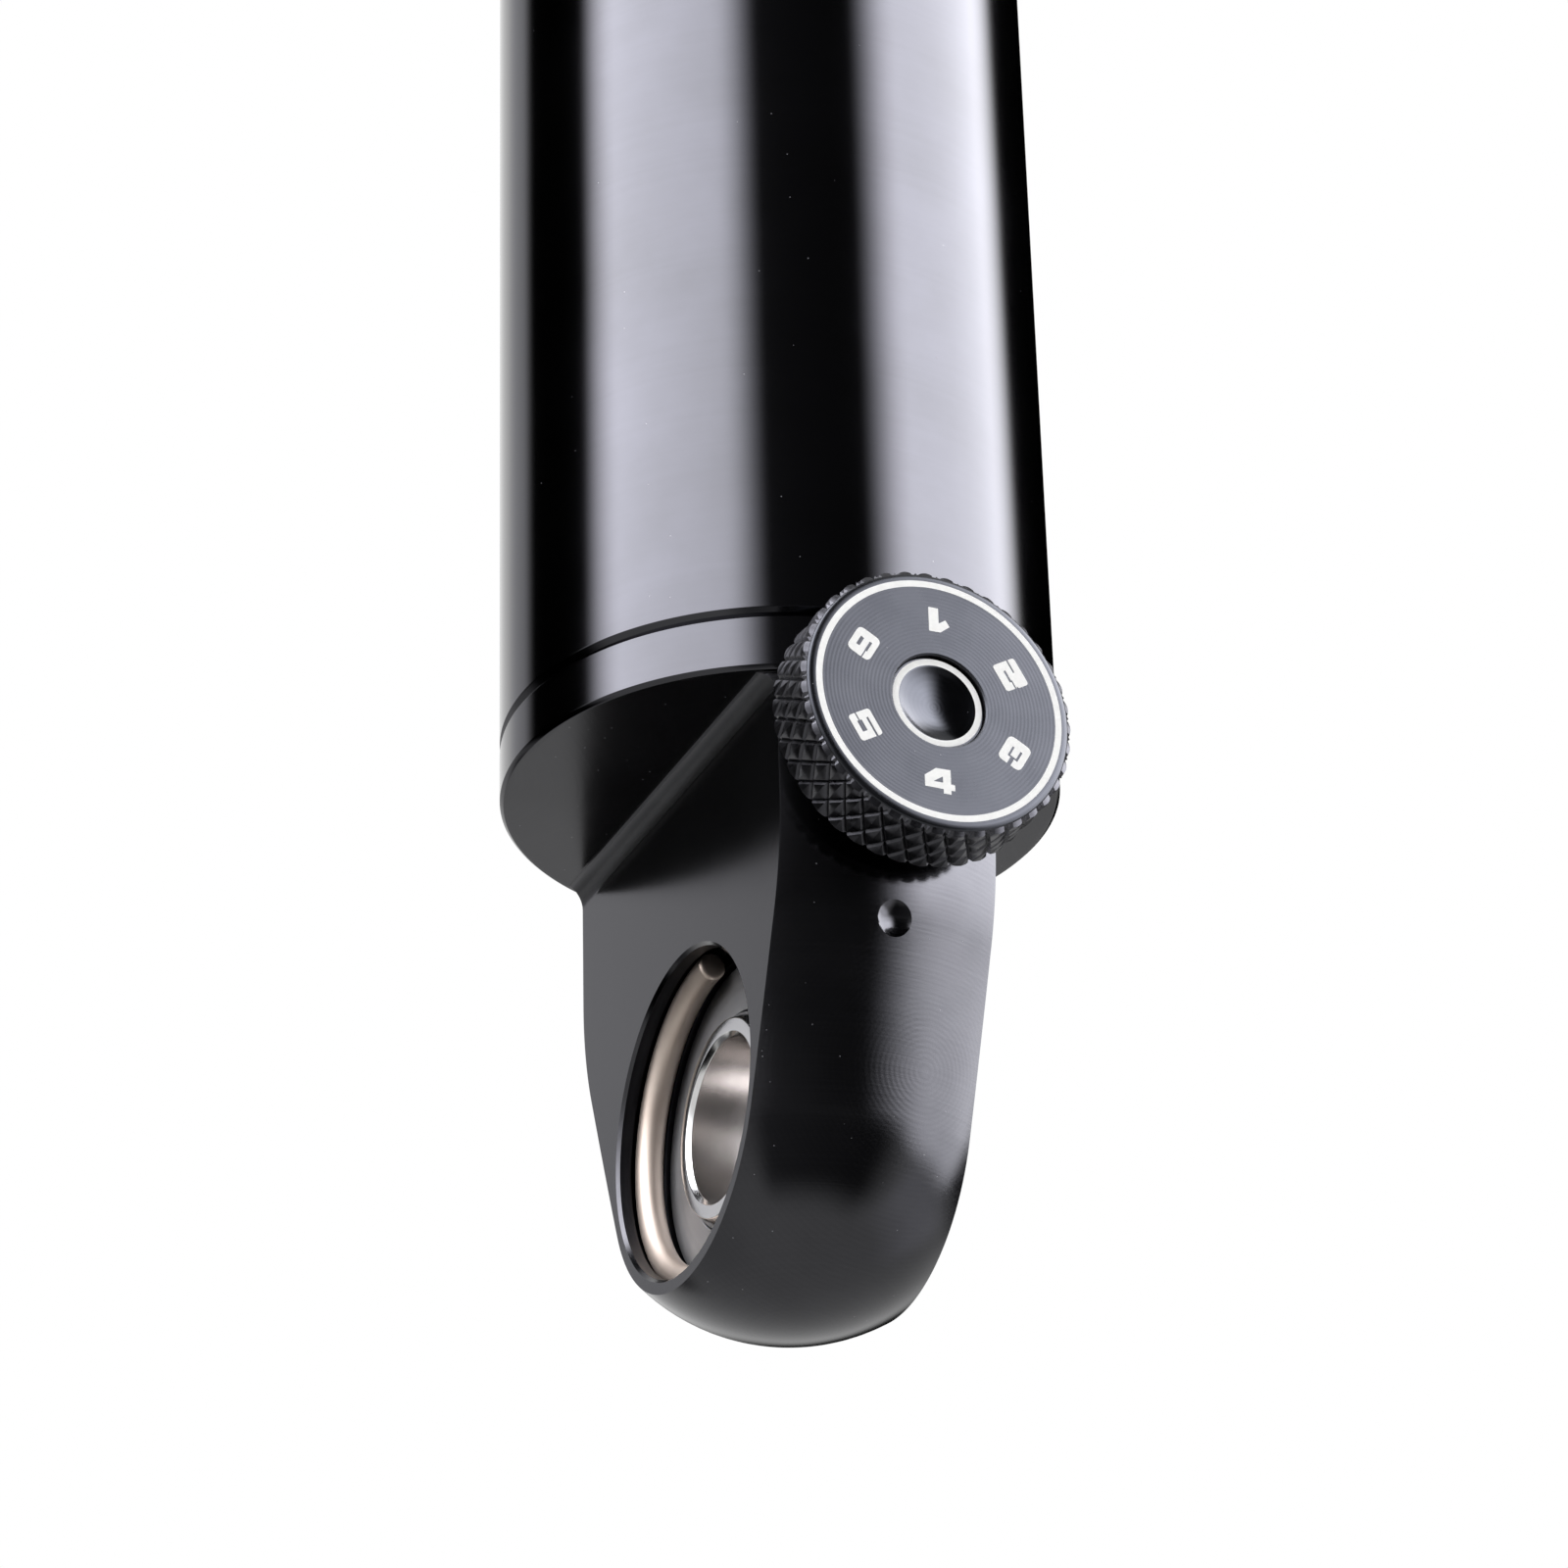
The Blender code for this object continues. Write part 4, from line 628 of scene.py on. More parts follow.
# Spherical bearings, the same at both ends. Near a wire's cut ends, wireEnds gives the distance from the
# end and the share of the wire's radius there.
bearingLook = {"bore": 6.35, "boreChamfer": 0.35, "nearBore": 0.02, "gap": 0.08, "raceEdge": 0.25,
               "ballEdge": 0.12, "steps": 144, "wireStart": 219, "wireSweep": 324, "wireSteps": 150,
               "wireEnds": [(0.0, 0.62), (0.05, 0.82), (0.14, 0.95), (0.26, 1.0)]}


def makeBearing(prefix, raceBody, ballBody, eyePlace):
    look = bearingLook
    race, ball = prefix + "_bearing_race", prefix + "_bearing_ball"
    ballHalf, ballRadius, raceOuter = high(ball, "x"), high(ball, "y"), high(race, "y")
    seat = ballRadius + look["gap"]
    wide = degrees(asin(raceHalf / seat))
    outline = arc(0, 0, seat, wide, -wide, steps=28) + [(raceOuter, -raceHalf), (raceOuter, raceHalf)]
    mesh = lathe(softened(outline, look["raceEdge"], steps=4), eyePlace, look["steps"])
    makePiece(prefix + "Race", mesh, raceBody, "bearing_steel", [race])
    tall = degrees(asin(ballHalf / ballRadius))
    bore, chamfer = look["bore"], look["boreChamfer"]
    outline = arc(0, 0, ballRadius, -tall, tall, steps=32) + [
        (bore + chamfer, ballHalf), (bore, ballHalf - chamfer),
        (bore, chamfer - ballHalf), (bore + chamfer, -ballHalf)]

    def inBore(centre, normal):
        fromAxis = Vector((centre.y, centre.z - eyePlace.translation.z / mm))
        return 1 if fromAxis.length < bore + look["nearBore"] else 0

    mesh = lathe(softened(outline, look["ballEdge"]), eyePlace, look["steps"])
    makePiece(prefix + "Ball", mesh, ballBody, "ball_steel", [ball], [ballSteel, boreSteel], choose=inBore)
    for side, sign in (("left", -1), ("right", 1)):
        makePiece(prefix + side.title() + "SnapRing", wireRing(eyePlace, sign * ringOffset), raceBody,
                  "spring_steel", [f"{prefix}_snap_ring_{side}"], sharp=50)


def wireRing(place, offset):
    # round spring wire bent to an open ring, with its cut ends broken
    look = bearingLook
    sweep = radians(look["wireSweep"])
    stations = [(d / ringMiddle, share) for d, share in look["wireEnds"]]
    stations += [(sweep * i / look["wireSteps"], 1.0) for i in range(1, look["wireSteps"])]
    stations += [(sweep - d / ringMiddle, share) for d, share in reversed(look["wireEnds"])]
    bm = bmesh.new()
    rings = []
    for turn, share in stations:
        angle = radians(look["wireStart"]) + turn
        section = circle(ringMiddle, offset, lugLook["ringWire"] / 2 * share)
        rings.append([bm.verts.new(onCircle(r, angle, z)) for r, z in section])
    for ring, other in zip(rings, rings[1:]):
        skin(bm, ring, other)
    bm.faces.new(rings[0])
    bm.faces.new(rings[-1])
    return toMesh(bm, place)


makeBearing("lower", "can", "lower_ball", lowerEye)
makeBearing("upper", "damper", "upper_ball", upperEye)
print("bearings made")

# Air can: a polished tube with a filleted boss for the valve
canLook = {"wall": 2.0, "chamfer": 0.8, "edge": 0.1, "steps": 224, "bossRadius": 6.0, "bossHeight": 2.5,
           "bossRoot": 0.4, "bossEdge": 0.6, "bossHole": 3.3, "holeFloor": 8.0, "footRadius": 1.5,
           "footReach": 1.4, "footRise": 1.2, "valveTurn": 25.0}
valvePlace = atHeight(halfway("valve_cap", "z")) @ spun(-canLook["valveTurn"], "Z") @ backPlace


def makeCan():
    look = canLook
    bottom, top = low("air_can", "z"), high("air_can", "z")
    inner = canRadius - look["wall"]
    tube = [(inner, bottom), (canRadius - look["chamfer"], bottom), (canRadius, bottom + look["chamfer"]),
            (canRadius, top), (inner, top)]
    blank = lathe(softened(tube, look["edge"]), shockPlace, look["steps"])
    radius, root, bossTop = look["bossRadius"], inner + look["bossRoot"], canRadius + look["bossHeight"]
    boss = softened(block(0, radius, root, bossTop), look["bossEdge"], steps=5)
    footTop = canRadius + look["footRise"]
    foot = [(0, root), (radius + look["footReach"], root)]
    foot += arc(radius + look["footRadius"], footTop, look["footRadius"], startDeg=250, endDeg=180, steps=8)
    foot.append((0, footTop))
    withBoss = carve(blank, [lathe(shape, valvePlace, steps=96) for shape in (boss, foot)], "UNION")
    hole = block(0, look["bossHole"], look["holeFloor"], bossTop + overrun)
    mesh = carve(withBoss, [lathe(hole, valvePlace, steps=64)])
    makePiece("airCan", mesh, "can", "gloss_black_anodised", ["air_can"])


# Seal head with spanner notches, and the wiper in it. lipFoot and lipNeck are widths from the bore, and
# heights above the head and below the wiper's top.
headLook = {"edge": 0.12, "notches": 4, "notchWidth": 4.0, "notchLength": 4.0, "notchDepth": 0.8,
            "notchEdge": 0.06, "wiperSeat": 2.1, "wiperFloor": 1.2, "wiperGap": 0.02, "wiperFit": 0.05,
            "wiperRim": 0.1, "wiperEdge": 0.25, "lipFoot": (1.5, 0.55), "lipNeck": (1.15, 0.5),
            "lipTip": 0.75}


def makeSealHead():
    look = headLook
    bottom, top = low("air_seal_head", "z"), high("air_seal_head", "z")
    flange = high("air_can", "z") + capLook["seam"]
    bore = high("damper_body", "x") + fitGap
    wiperSeat = bore + look["wiperSeat"]
    spigot, chamfer = canRadius - capLook["spigotWall"], canLook["chamfer"]
    outline = [(wiperSeat, bottom), (spigot, bottom), (spigot, flange), (canRadius, flange),
               (canRadius, top - chamfer), (canRadius - chamfer, top), (wiperSeat, top)]
    blank = lathe(softened(outline, look["edge"]), shockPlace, canLook["steps"])
    half = look["notchWidth"] / 2
    slot = block(canRadius - look["notchDepth"], canRadius + overrun, -half, half)
    turns = [spun(360 * i / look["notches"], "Z") for i in range(look["notches"])]
    notches = [prism(slot, top - look["notchLength"], top + overrun, turn) for turn in turns]
    mesh = carve(blank, notches, edge=look["notchEdge"])
    makePiece("airSealHead", mesh, "can", "gloss_black_anodised", ["air_seal_head"])
    floor, wiperTop = top - look["wiperFloor"], high("can_wiper", "z")
    lip, outer = bore + look["wiperGap"], wiperSeat - look["wiperFit"]
    (footWide, footRise), (neckWide, neckDrop) = look["lipFoot"], look["lipNeck"]
    outline = [(lip, floor), (outer, floor), (outer, top + look["wiperRim"]),
               (bore + footWide, top + footRise), (bore + neckWide, wiperTop - neckDrop),
               (bore + look["lipTip"], wiperTop), (lip, wiperTop)]
    mesh = lathe(softened(outline, look["wiperEdge"], steps=4), shockPlace, steps=160)
    makePiece("canWiper", mesh, "can", "black_rubber", ["can_wiper"])


# Damper body with the travel ring on it, and the gas plug with its hexagon
damperLook = {"wall": 2.0, "edge": 0.2, "ringGap": 0.05, "plugEdge": 0.3, "keyRadius": 1.44, "keyDepth": 2.5,
              "keyEdge": 0.05}


def makeDamper():
    look = damperLook
    outer = high("damper_body", "x")
    tube = block(outer - look["wall"], outer, low("damper_body", "z"), high("damper_body", "z"))
    mesh = lathe(softened(tube, look["edge"]), shockPlace, steps=192)
    makePiece("damperBody", mesh, "damper", "clear_anodised", ["damper_body"])
    section = (high("travel_oring", "z") - low("travel_oring", "z")) / 2
    ring = circle(outer + look["ringGap"] + section, halfway("travel_oring", "z"), section)
    mesh = lathe(ring, shockPlace, steps=160)
    makePiece("travelRing", mesh, "travel_marker", "black_rubber", ["travel_oring"], sharp=60)
    face, back, radius = high("gas_fill_plug", "y"), low("gas_fill_plug", "y"), high("gas_fill_plug", "x")
    plug = lathe(softened(block(0, radius, back, face), look["plugEdge"]), plugPlace, steps=64)
    key = prism(circle(0, 0, look["keyRadius"], 6), face - look["keyDepth"], face + overrun, plugPlace)
    mesh = carve(plug, [key], edge=look["keyEdge"])
    makePiece("gasFillPlug", mesh, "damper", "ground_steel", ["gas_fill_plug"])


# Air valve: a threaded brass stem under a ribbed cap. Heights on the cap are measured from its ends, and
# capDimple is the radius at its rim, at its floor, and its depth.
valveLook = {"spigot": 3.0, "spigotDepth": 4.2, "flange": 4.5, "flangeHeight": 1.5, "stem": 3.85,
             "stemHeight": 10.0, "stemWall": 1.5, "stemChamfer": 0.4, "threadPitch": 0.8, "threadDepth": 0.22,
             "threadMargin": 0.6, "capGap": 0.15, "capEdge": 0.3, "capRound": 1.0, "capFloor": 1.2,
             "capDimple": (2.4, 2.1, 0.25), "ribs": 24, "ribDepth": 0.16, "ribSlope": 2.2, "ribCrest": 0.6,
             "ribsFrom": 0.9, "ribsTo": 1.2, "lowRows": (0.3, 0.85, 1.0), "highRows": (1.3, 1.15)}


def makeValve():
    look = valveLook
    seat = canRadius + canLook["bossHeight"] + capLook["seam"]
    flangeTop = seat + look["flangeHeight"]
    stemTop = flangeTop + look["stemHeight"]
    stem, bore, core = look["stem"], look["stem"] - look["stemWall"], look["stem"] - look["threadDepth"]
    thread = []
    z = flangeTop + look["threadMargin"]
    while z < stemTop - look["threadMargin"]:
        thread += [(stem, z), (core, z + look["threadPitch"] / 2)]
        z += look["threadPitch"]
    root = seat - look["spigotDepth"]
    outline = [(bore, root), (look["spigot"], root), (look["spigot"], seat), (look["flange"], seat),
               (look["flange"], flangeTop), (core, flangeTop)] + thread
    outline += [(stem - look["stemChamfer"], stemTop), (bore, stemTop)]
    mesh = lathe(outline, valvePlace, steps=72)
    makePiece("valveBody", mesh, "can", "brass", ["valve_body"], sharp=30)
    toValve = valvePlace.inverted()
    corners = [toValve @ vertex.co / mm for vertex in frame["nodes"]["valve_cap"].data.vertices]
    top, bottom = max(c.z for c in corners), min(c.z for c in corners)
    outer = max(hypot(c.x, c.y) for c in corners)

    def ribs(angle, radius, height):
        inBand = bottom + look["ribsFrom"] < height < top - look["ribsTo"]
        if radius < outer - look["capEdge"] or not inBand:
            return radius
        wave = abs(((angle * look["ribs"] / (2 * pi)) % 1) * 2 - 1)
        return radius - look["ribDepth"] * min(1, max(0, wave * look["ribSlope"] - look["ribCrest"]))

    inner, rounding, floor = stem + look["capGap"], look["capRound"], top - look["capFloor"]
    dimpleRim, dimpleFloor, dimple = look["capDimple"]
    outline = [(inner, bottom), (outer - look["capEdge"], bottom)]
    outline += [(outer, bottom + row) for row in look["lowRows"]]
    outline += [(outer, top - row) for row in look["highRows"]]
    outline += arc(outer - rounding, top - rounding, rounding, startDeg=10, endDeg=90, steps=8)
    outline += [(dimpleRim, top), (dimpleFloor, top - dimple), (0, top - dimple), (0, floor), (inner, floor)]
    mesh = lathe(outline, valvePlace, steps=192, ripple=ribs)
    makePiece("valveCap", mesh, "can", "black_plastic", ["valve_cap"], sharp=45)


makeCan()
makeSealHead()
makeDamper()
makeValve()
print("can, seal head, damper and valve made")

# Rebound dial: diamond knurl, faced front with white marks that stand an inlay proud, and a hole for its cap.
# unevenSteps deals the diamonds' heights out over its last number of levels.
knobLook = {"around": 39, "helix": 30.0, "grooveDepth": 0.38, "grooveShare": 7.0, "crown": 0.34,
            "uneven": 0.07, "unevenSteps": (7, 13, 11), "cellSteps": 8, "noFold": 1e-6, "proud": 0.2,
            "knurlBack": 0.6, "knurlFront": 0.54, "rimRadius": 10.66, "rimWidth": 0.55, "rimDrop": 0.3,
            "rimRow": 0.03, "faceRow": 8.42, "holeChamfer": 0.08, "holeRow": 0.02, "capGap": 0.03,
            "capRoom": 0.1, "backStep": 0.4, "backDrop": 0.15, "backRadius": 10.3, "hubRadius": 3.2,
            "hubDepth": 1.6, "faceFrom": 0.2, "backTo": 0.16, "inlay": 0.012}
knobRadius = high("adjuster_knob", "x")
knobThick = high("adjuster_knob", "y") - low("adjuster_knob", "y")
knobCapRadius = high("knob_cap", "x")
knobCapThick = high("knob_cap", "y") - low("knob_cap", "y")
capRecess = low("knob_cap", "y") - low("adjuster_knob", "y")
faceZ = knobThick - knobLook["inlay"]


def makeKnob():
    # rows of points on the knurled band; each diamond is a low, crowned block between helical grooves
    look = knobLook
    cell = look["cellSteps"]
    pitch = 2 * pi * knobRadius / look["around"]
    rowHeight = pitch / (2 * cell * tan(radians(look["helix"])))
    frontZ = knobThick - look["knurlFront"]
    rows = int((frontZ - look["knurlBack"]) / rowHeight)
    rowHeight = (frontZ - look["knurlBack"]) / rows
    count = look["around"] * cell
    bm = bmesh.new()

    def rise(i, j):
        # i and j count the steps along the two sets of grooves
        across, along = (i % cell) / cell, (j % cell) / cell
        inward = min(across, 1 - across, along, 1 - along)
        stepI, stepJ, kinds = look["unevenSteps"]
        diamond = (i // cell) % look["around"] * stepI + (j // cell) % look["around"] * stepJ
        full = 1 - look["uneven"] * (diamond % kinds) / (kinds - 1)
        crown = look["crown"]
        return full * ((1 - crown) * min(1.0, look["grooveShare"] * inward) + 2 * crown * inward)

    grid = []
    for row in range(rows + 1):
        line = []
        for m in range(count):
            k = 2 * m + row % 2
            lift = rise((k - row) // 2, (k + row) // 2)
            radius = knobRadius + look["proud"] - look["grooveDepth"] * (1 - lift)
            spot = onCircle(radius, pi * k / count, look["knurlBack"] + row * rowHeight)
            line.append((bm.verts.new(spot), lift))
        grid.append(line)

    def corner(k, row):
        return grid[row][((k - row % 2) // 2) % count]

    for row in range(rows - 1):
        for m in range(count):
            k = 2 * m + row % 2
            (a, liftA), (b, liftB) = corner(k, row), corner(k + 1, row + 1)
            (c, liftC), (d, liftD) = corner(k, row + 2), corner(k - 1, row + 1)
            fold = liftA + liftC - liftB - liftD
            if abs(fold) < look["noFold"]:
                bm.faces.new((a, b, c, d))
            else:
                for three in ((a, b, c), (a, c, d)) if fold > 0 else ((a, b, d), (b, c, d)):
                    bm.faces.new(three)
    for m in range(count):
        bm.faces.new((grid[0][m][0], corner(2 * m + 2, 0)[0], corner(2 * m + 1, 1)[0]))
        k = 2 * m + rows % 2
        bm.faces.new((grid[rows][m][0], corner(k + 1, rows - 1)[0], corner(k + 2, rows)[0]))

    hole = knobCapRadius + look["capGap"]
    mouth = hole + look["holeChamfer"]
    rim = [(look["rimRadius"] - look["rimWidth"] * (1 - x), faceZ - look["rimDrop"] * (1 - y))
           for x, y in arc(0, 0, 1, 0, 90, steps=12)]
    front = rim + [
        (rim[-1][0] - look["rimRow"], faceZ), (look["faceRow"], faceZ), (mouth + look["holeRow"], faceZ),
        (mouth, faceZ - look["holeRow"]), (hole, knobThick - capRecess),
        (hole, knobThick - capRecess - knobCapThick - look["capRoom"])]
    back = [(knobRadius - look["backStep"], look["knurlBack"] - look["backDrop"]), (look["backRadius"], 0.0),
            (look["hubRadius"], 0.0), (look["hubRadius"], look["hubDepth"])]
    for row, profile in ((rows, front), (0, back)):
        last = [vert for vert, lift in grid[row]]
        for radius, height in profile:
            angles = [pi * (2 * m + row % 2) / count for m in range(count)]
            ring = [bm.verts.new(onCircle(radius, angle, height)) for angle in angles]
            skin(bm, last, ring)
            last = ring
        bm.faces.new(last)
    backY = high("adjuster_knob", "y")

    def choose(centre, normal):
        depth = backY - centre.y
        return 0 if depth > frontZ + look["faceFrom"] or depth < look["knurlBack"] - look["backTo"] else 1

    makePiece("adjusterKnob", toMesh(bm, dialPlace), "dial", "satin_black_anodised", ["adjuster_knob"],
              [dialFaced, dialKnurl], sharp=11, choose=choose)


# Cap in the dial's middle: a polished dish inside a white ring
dishLook = {"sink": 0.3, "edge": 0.03, "radius": 3.12, "depth": 0.75, "ringGap": 0.01, "ringOuter": 3.64,
            "ringRoot": 0.05}


def makeKnobCap():
    look = dishLook
    radius, depth, edge = look["radius"], look["depth"], look["edge"]
    top, bottom = faceZ - capRecess - look["sink"], knobThick - capRecess - knobCapThick
    ball = dishBall(radius, depth)
    tilt = degrees(asin(radius / ball))
    outline = [(0, bottom), (knobCapRadius, bottom), (knobCapRadius, top - edge), (knobCapRadius - edge, top)]
    outline += arc(0, top - depth + ball, ball, tilt - 90, -90, steps=24)
    mesh = lathe(outline, dialPlace, steps=144)
    makePiece("knobCap", mesh, "dial", "satin_black_anodised", ["knob_cap"], [dishPolished])
    ring = block(radius + look["ringGap"], look["ringOuter"], top - look["ringRoot"], top + knobLook["inlay"])
    mesh = lathe(ring, dialPlace, steps=144)
    makePiece("knobCapRing", mesh, "dial", "satin_black_anodised", materials=[whiteEnamel])


# White ring and numbers on the dial's face. Numbers are in millimetres round their own middles, tops toward
# the dial's centre: the block, its corner radius and the slits cut from it, as left, right, bottom and top.
markLook = {"ringInner": 9.5, "ringOuter": 10.02, "root": 0.05, "digitCircle": 6.85}
digitLook = [
    {"block": [(-0.17, -0.99), (0.64, -0.99), (0.64, 1.06), (-0.28, 1.04), (-1.06, 0.42), (-0.73, -0.1),
               (-0.17, 0.3)], "round": 0.06, "slits": []},
    {"block": [(-1.25, -1.02), (1.1, -1.02), (1.1, 1.06), (-1.2, 1.06), (-1.2, 0.08), (-1.05, 0.03),
               (-1.25, -0.06)], "round": 0.26,
     "slits": [(-0.6, 0.4, 0.22, 0.42), (-1.5, -0.5, 0.14, 0.26), (0.0, 1.4, -0.43, -0.29)]},
    {"block": block(-1.02, 1.32, -1.02, 1.06), "round": 0.5,
     "slits": [(-1.3, -0.27, -0.18, 0.15), (-0.38, 0.58, 0.24, 0.42), (-0.38, 0.58, -0.48, -0.29),
               (-0.38, -0.22, -0.46, 0.4)]},
    {"block": [(0.0, -0.98), (0.62, -0.98), (0.62, -0.64), (0.94, -0.64), (0.94, -0.14), (0.62, -0.14),
               (0.62, 1.06), (-0.57, 1.02), (-1.5, 0.3), (-1.5, -0.62), (0.0, -0.62)], "round": 0.05,
     "slits": [], "counter": [(-0.8, -0.1), (-0.03, -0.1), (-0.03, 0.42)]},
    {"block": block(-1.32, 0.92, -1.13, 0.85), "round": 0.3,
     "slits": [(-0.7, 1.2, 0.22, 0.4), (-0.68, 0.25, -0.64, -0.22), (-1.6, -0.6, -0.5, -0.38)]},
    {"block": block(-1.2, 1.09, -1.18, 0.85), "round": 0.5,
     "slits": [(-0.52, 0.42, 0.13, 0.35), (0.3, 1.4, 0.15, 0.26), (-0.48, 0.36, -0.66, -0.36)]}]


def makeDialMarks():
    look = markLook
    bottom, top = faceZ - look["root"], knobThick
    meshes = [lathe(block(look["ringInner"], look["ringOuter"], bottom, top), dialPlace, steps=192)]
    outward = Matrix.Translation((0, look["digitCircle"] * mm, 0)) @ spun(180, "Z")
    for number, digit in enumerate(digitLook):
        place = dialPlace @ spun(-360 * number / len(digitLook), "Z") @ outward
        blank = prism(softened(digit["block"], digit["round"], steps=5), bottom, top, place)
        cuts = [block(*slit) for slit in digit["slits"]]
        if "counter" in digit:
            cuts.append(digit["counter"])
        meshes.append(carve(blank, [prism(cut, bottom - overrun, top + overrun, place) for cut in cuts]))
    makePiece("dialMarks", joined(meshes), "dial", "satin_black_anodised", materials=[whiteEnamel], sharp=30)


makeKnob()
makeKnobCap()
makeDialMarks()
print("dial made")

# Studio: a white surround and a pale floor. Two lamps light what is matt. Polished metal sees soft white
# panels and black flags in their place, each a patch of a sphere round the part, faded out at its edges.
studioLook = {"floorZ": -0.25, "floorSize": 6.0, "floor": "#e6e6e6", "panel": "#f9f9ff", "aim": (0, 0, 0.02),
              "fill": 0.8}
lampLook = [
    {"name": "leftLamp", "turn": -66, "rise": 28, "size": (1.40, 0.95), "level": 0.8, "colour": "#f7f7ff"},
    {"name": "rightLamp", "turn": 62, "rise": 28, "size": (1.60, 0.95), "level": 1.0, "colour": "#ffffff"}]

# Turns round the shock from the dial's side and rises from level, in degrees, then the degrees of fade at
# the left, right, bottom and top, the glow at the left and at the right, and the distance in metres
panelLook = {
    "leftPanel": ((-109, -25), (-14, 84), (20, 20, 56, 12), (16, 10), 0.9),
    "rightPanel": ((13, 99), (-26, 60), (24, 20, 45, 16), (15, 12), 0.9),
    "rightLowPanel": ((36, 87), (-29, -2), (18, 16, 17, 5), (7, 7), 0.25),
    "rightUnderPanel": ((44, 106), (-62, -18), (16, 16, 24, 14), (1.8, 1.6), 0.27),
    "leftBackPanel": ((-172, -138), (0, 84), (12, 12, 14, 12), (0.86, 0.86), 1.1),
    "leftFlag": ((-152, -100), (-14, 84), (10, 10, 8, 12), (0, 0), 1.0),
    "leftLowFlag": ((-146, -100), (-50, 6), (12, 12, 12, 8), (0, 0), 0.26),
    "leftBackFlag": ((-174, -138), (-46, -8), (12, 12, 12, 12), (0.15, 0.15), 0.26),
    "frontFlag": ((-42, 34), (-15, 84), (12, 12, 4, 12), (0.12, 0.0), 1.0),
    "frontLowFlag": ((-52, 52), (-68, 2), (16, 26, 20, 24), (0.25, 0.0), 0.26),
    "rightLowFlag": ((77, 112), (-27, 2), (10, 10, 12, 8), (0.1, 0.1), 0.24),
    "rightFlag": ((90, 168), (-8, 84), (12, 12, 14, 12), (0, 0), 1.0)}


def fromObject(turn, rise, distance):
    side, up = radians(turn), radians(rise)
    return Vector((sin(side) * cos(up), -cos(side) * cos(up), sin(up))) * distance


def makeFloor():
    # pale paper that takes shadows; a polished piece sees it as plain white
    material, tree = newMaterial("palePaperFloor")
    shader = tree.nodes["Principled BSDF"]
    setInputs(shader, {"Base Color": toLinear(studioLook["floor"]), "Roughness": 0.9,
                       "Specular IOR Level": 0.0})
    path = addNode(tree, "LightPath")
    white = addNode(tree, "Emission", {"Color": (1, 1, 1, 1), "Strength": 1.0})
    mixed = addNode(tree, "MixShader", {0: path.outputs["Is Glossy Ray"], 1: shader, 2: white})
    setInputs(tree.nodes["Material Output"], {"Surface": mixed})
    bm = bmesh.new()
    bmesh.ops.create_grid(bm, x_segments=1, y_segments=1, size=studioLook["floorSize"] / 2)
    mesh = toMesh(bm, Matrix.Translation((0, 0, studioLook["floorZ"])))
    mesh.materials.append(material)
    addObject("floor", mesh)


def panelMaterial(name, turns, rises, edges, level):
    # glowing cloth or black felt, clear at the rim; the level may change from one side to the other
    material, tree = newMaterial(name + "Cloth")
    tree.nodes.clear()
    place = addNode(tree, "SeparateXYZ", {"Vector": addNode(tree, "UVMap")})
    cover = 1.0
    for axis, (start, end), (near, far) in (("X", turns, edges[:2]), ("Y", rises, edges[2:])):
        for rim, full in ((0.0, near / (end - start)), (1.0, 1 - far / (end - start))):
            span = {"Value": place.outputs[axis], "From Min": rim, "From Max": full}
            fade = addNode(tree, "MapRange", span, interpolation_type="SMOOTHSTEP")
            cover = addNode(tree, "Math", {0: cover, 1: fade}, operation="MULTIPLY")
    glow = addNode(tree, "MapRange", {"Value": place.outputs["X"], "To Min": level[0], "To Max": level[1]})
    cloth = addNode(tree, "Emission", {"Color": toLinear(studioLook["panel"]), "Strength": glow})
    mixed = addNode(tree, "MixShader", {0: cover, 1: addNode(tree, "BsdfTransparent"), 2: cloth})
    addNode(tree, "OutputMaterial", {"Surface": mixed})
    return material


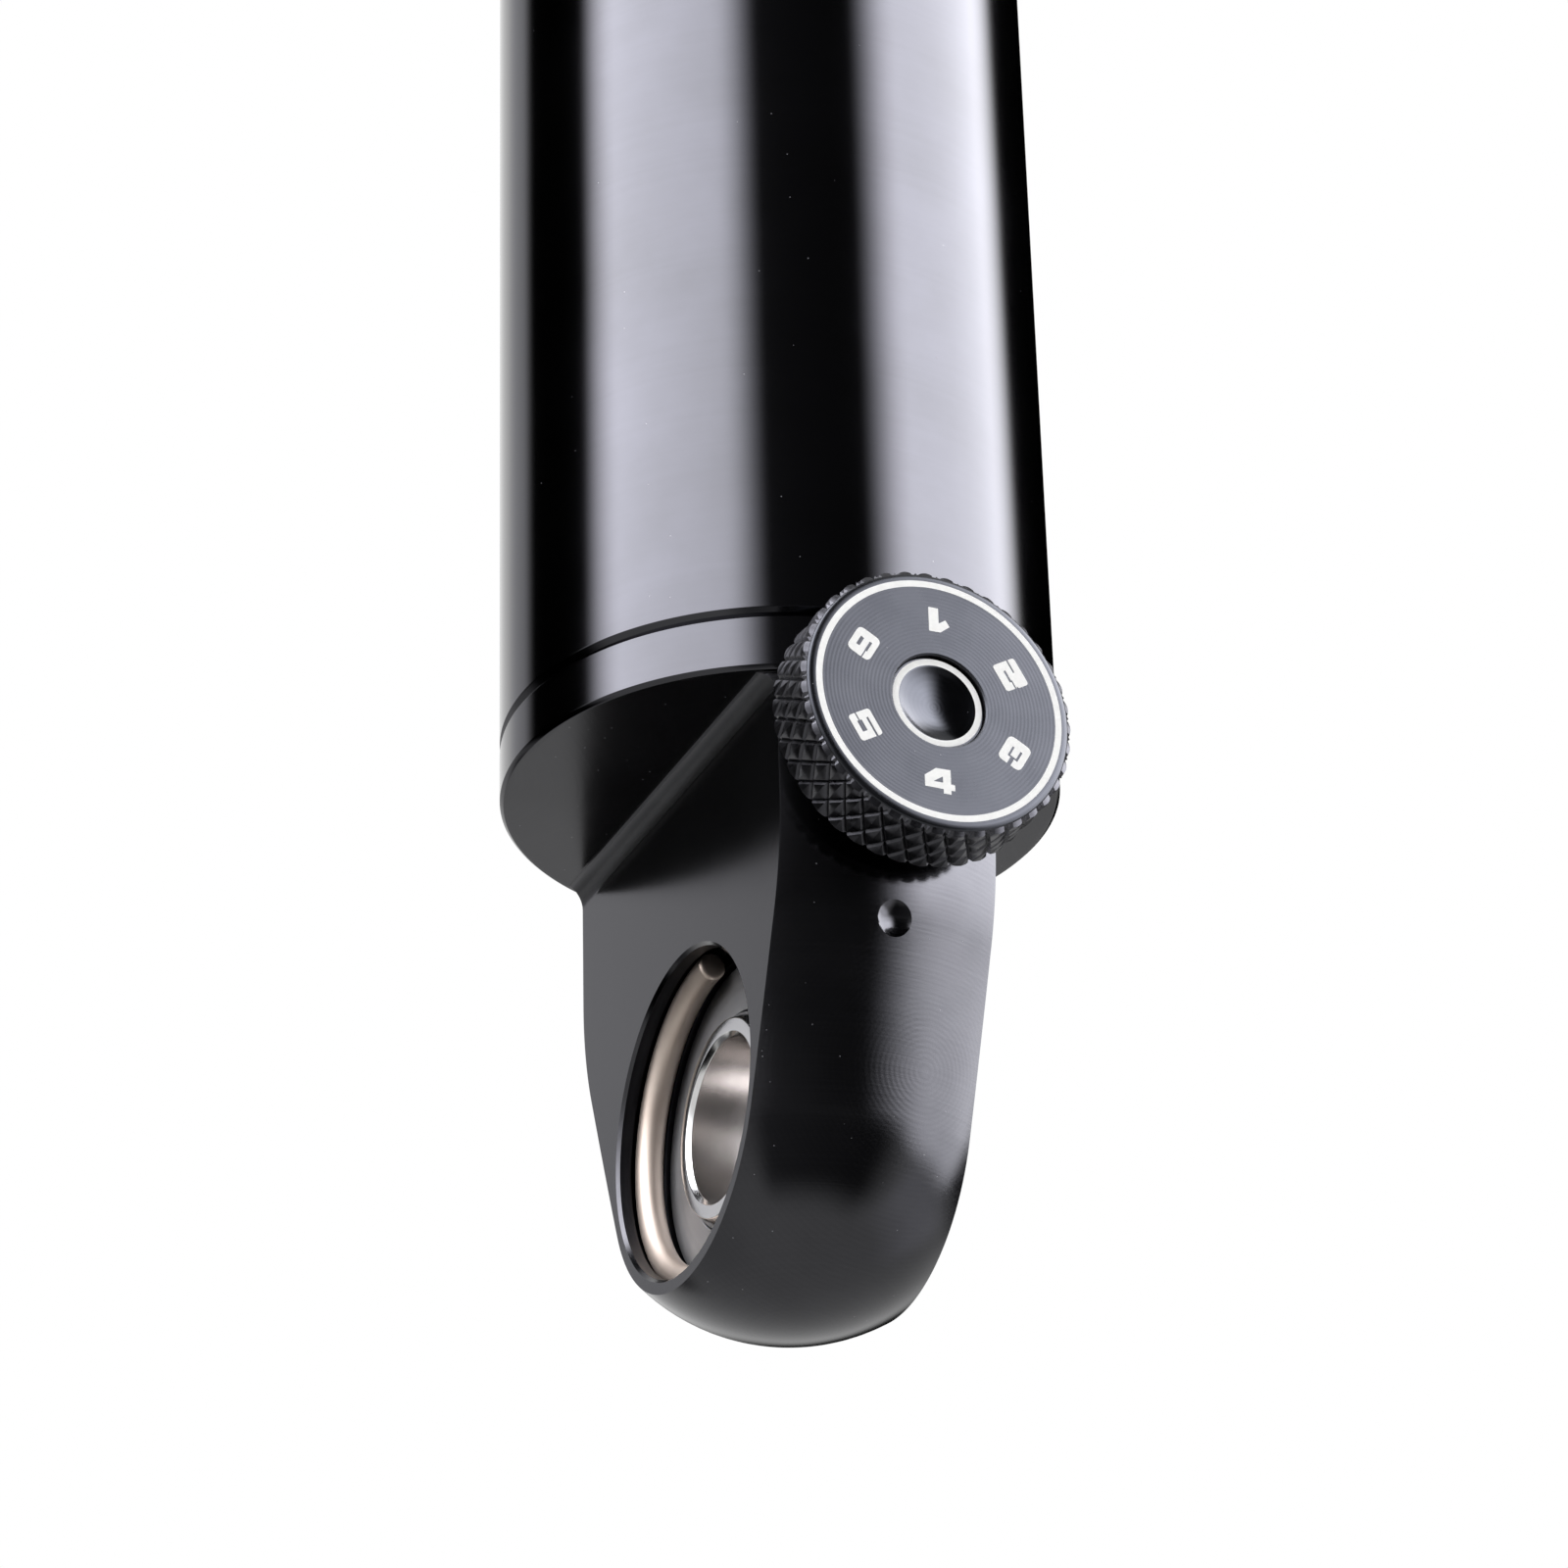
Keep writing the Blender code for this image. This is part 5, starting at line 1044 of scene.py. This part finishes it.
def makePanel(name, turns, rises, edges, level, distance):
    columns, rows = 16, 12
    bm = bmesh.new()
    cloth = bm.loops.layers.uv.new("cloth")
    corners = {}
    for i in range(columns + 1):
        for j in range(rows + 1):
            turn = turns[0] + (turns[1] - turns[0]) * i / columns
            rise = rises[0] + (rises[1] - rises[0]) * j / rows
            corners[i, j] = bm.verts.new(Vector(studioLook["aim"]) + fromObject(turn, rise, distance))
    for i in range(columns):
        for j in range(rows):
            spots = block(i, i + 1, j, j + 1)
            face = bm.faces.new([corners[spot] for spot in spots])
            for loop, (u, v) in zip(face.loops, spots):
                loop[cloth].uv = (u / columns, v / rows)
    mesh = bpy.data.meshes.new(name)
    bm.to_mesh(mesh)
    bm.free()
    mesh.materials.append(panelMaterial(name, turns, rises, edges, level))
    panel = addObject(name, mesh)
    panel.visible_camera = False
    panel.visible_diffuse = False
    panel.visible_shadow = False
    panel.visible_transmission = False


def makeLamp(look):
    lamp = bpy.data.lights.new(look["name"], "AREA")
    lamp.shape = "RECTANGLE"
    lamp.size, lamp.size_y = look["size"]
    lamp.color = toLinear(look["colour"])[:3]
    lamp.energy = look["level"] * pi * look["size"][0] * look["size"][1]
    holder = addObject(look["name"], lamp)
    outward = fromObject(look["turn"], look["rise"], 1.0)
    holder.location = Vector(studioLook["aim"]) + outward
    holder.rotation_euler = outward.to_track_quat("Z", "Y").to_euler()
    holder.visible_glossy = False


def makeSurround():
    # white to the eye and in reflections, dimmer as light on matt surfaces
    world = bpy.data.worlds.new("whiteSurround")
    world.use_nodes = True
    tree = world.node_tree
    path = addNode(tree, "LightPath")
    seen = path.outputs["Is Camera Ray"]
    for kind in ("Is Glossy Ray", "Is Transmission Ray"):
        seen = addNode(tree, "Math", {0: seen, 1: path.outputs[kind]}, operation="MAXIMUM")
    level = addNode(tree, "MapRange", {"Value": seen, "To Min": studioLook["fill"], "To Max": 1.0})
    setInputs(tree.nodes["Background"], {"Color": (1, 1, 1, 1), "Strength": level})
    world.cycles.sampling_method = "NONE"      # so that each kind of ray sees its own level
    bpy.context.scene.world = world


# Camera below and to the left of the dial, as in the photograph; places in millimetres, turns in degrees
cameraLook = {"eye": (-157.82, -345.31, -175.65), "turn": -24.615, "rise": 28.426, "roll": -1.566,
              "lens": 125.97}


def makeCamera():
    look = cameraLook
    camera = bpy.data.cameras.new("camera")
    camera.sensor_width = 36
    camera.lens = look["lens"]
    camera.clip_start = 0.01
    holder = addObject("camera", camera)
    holder.matrix_world = (Matrix.Translation(Vector(look["eye"]) * mm) @ spun(look["turn"], "Z")
                           @ spun(90 + look["rise"], "X") @ spun(look["roll"], "Z"))
    bpy.context.scene.camera = holder


makeFloor()
for name, look in panelLook.items():
    makePanel(name, *look)
for look in lampLook:
    makeLamp(look)
makeSurround()
makeCamera()
bpy.context.scene.view_settings.view_transform = "Standard"
print("studio and camera made")
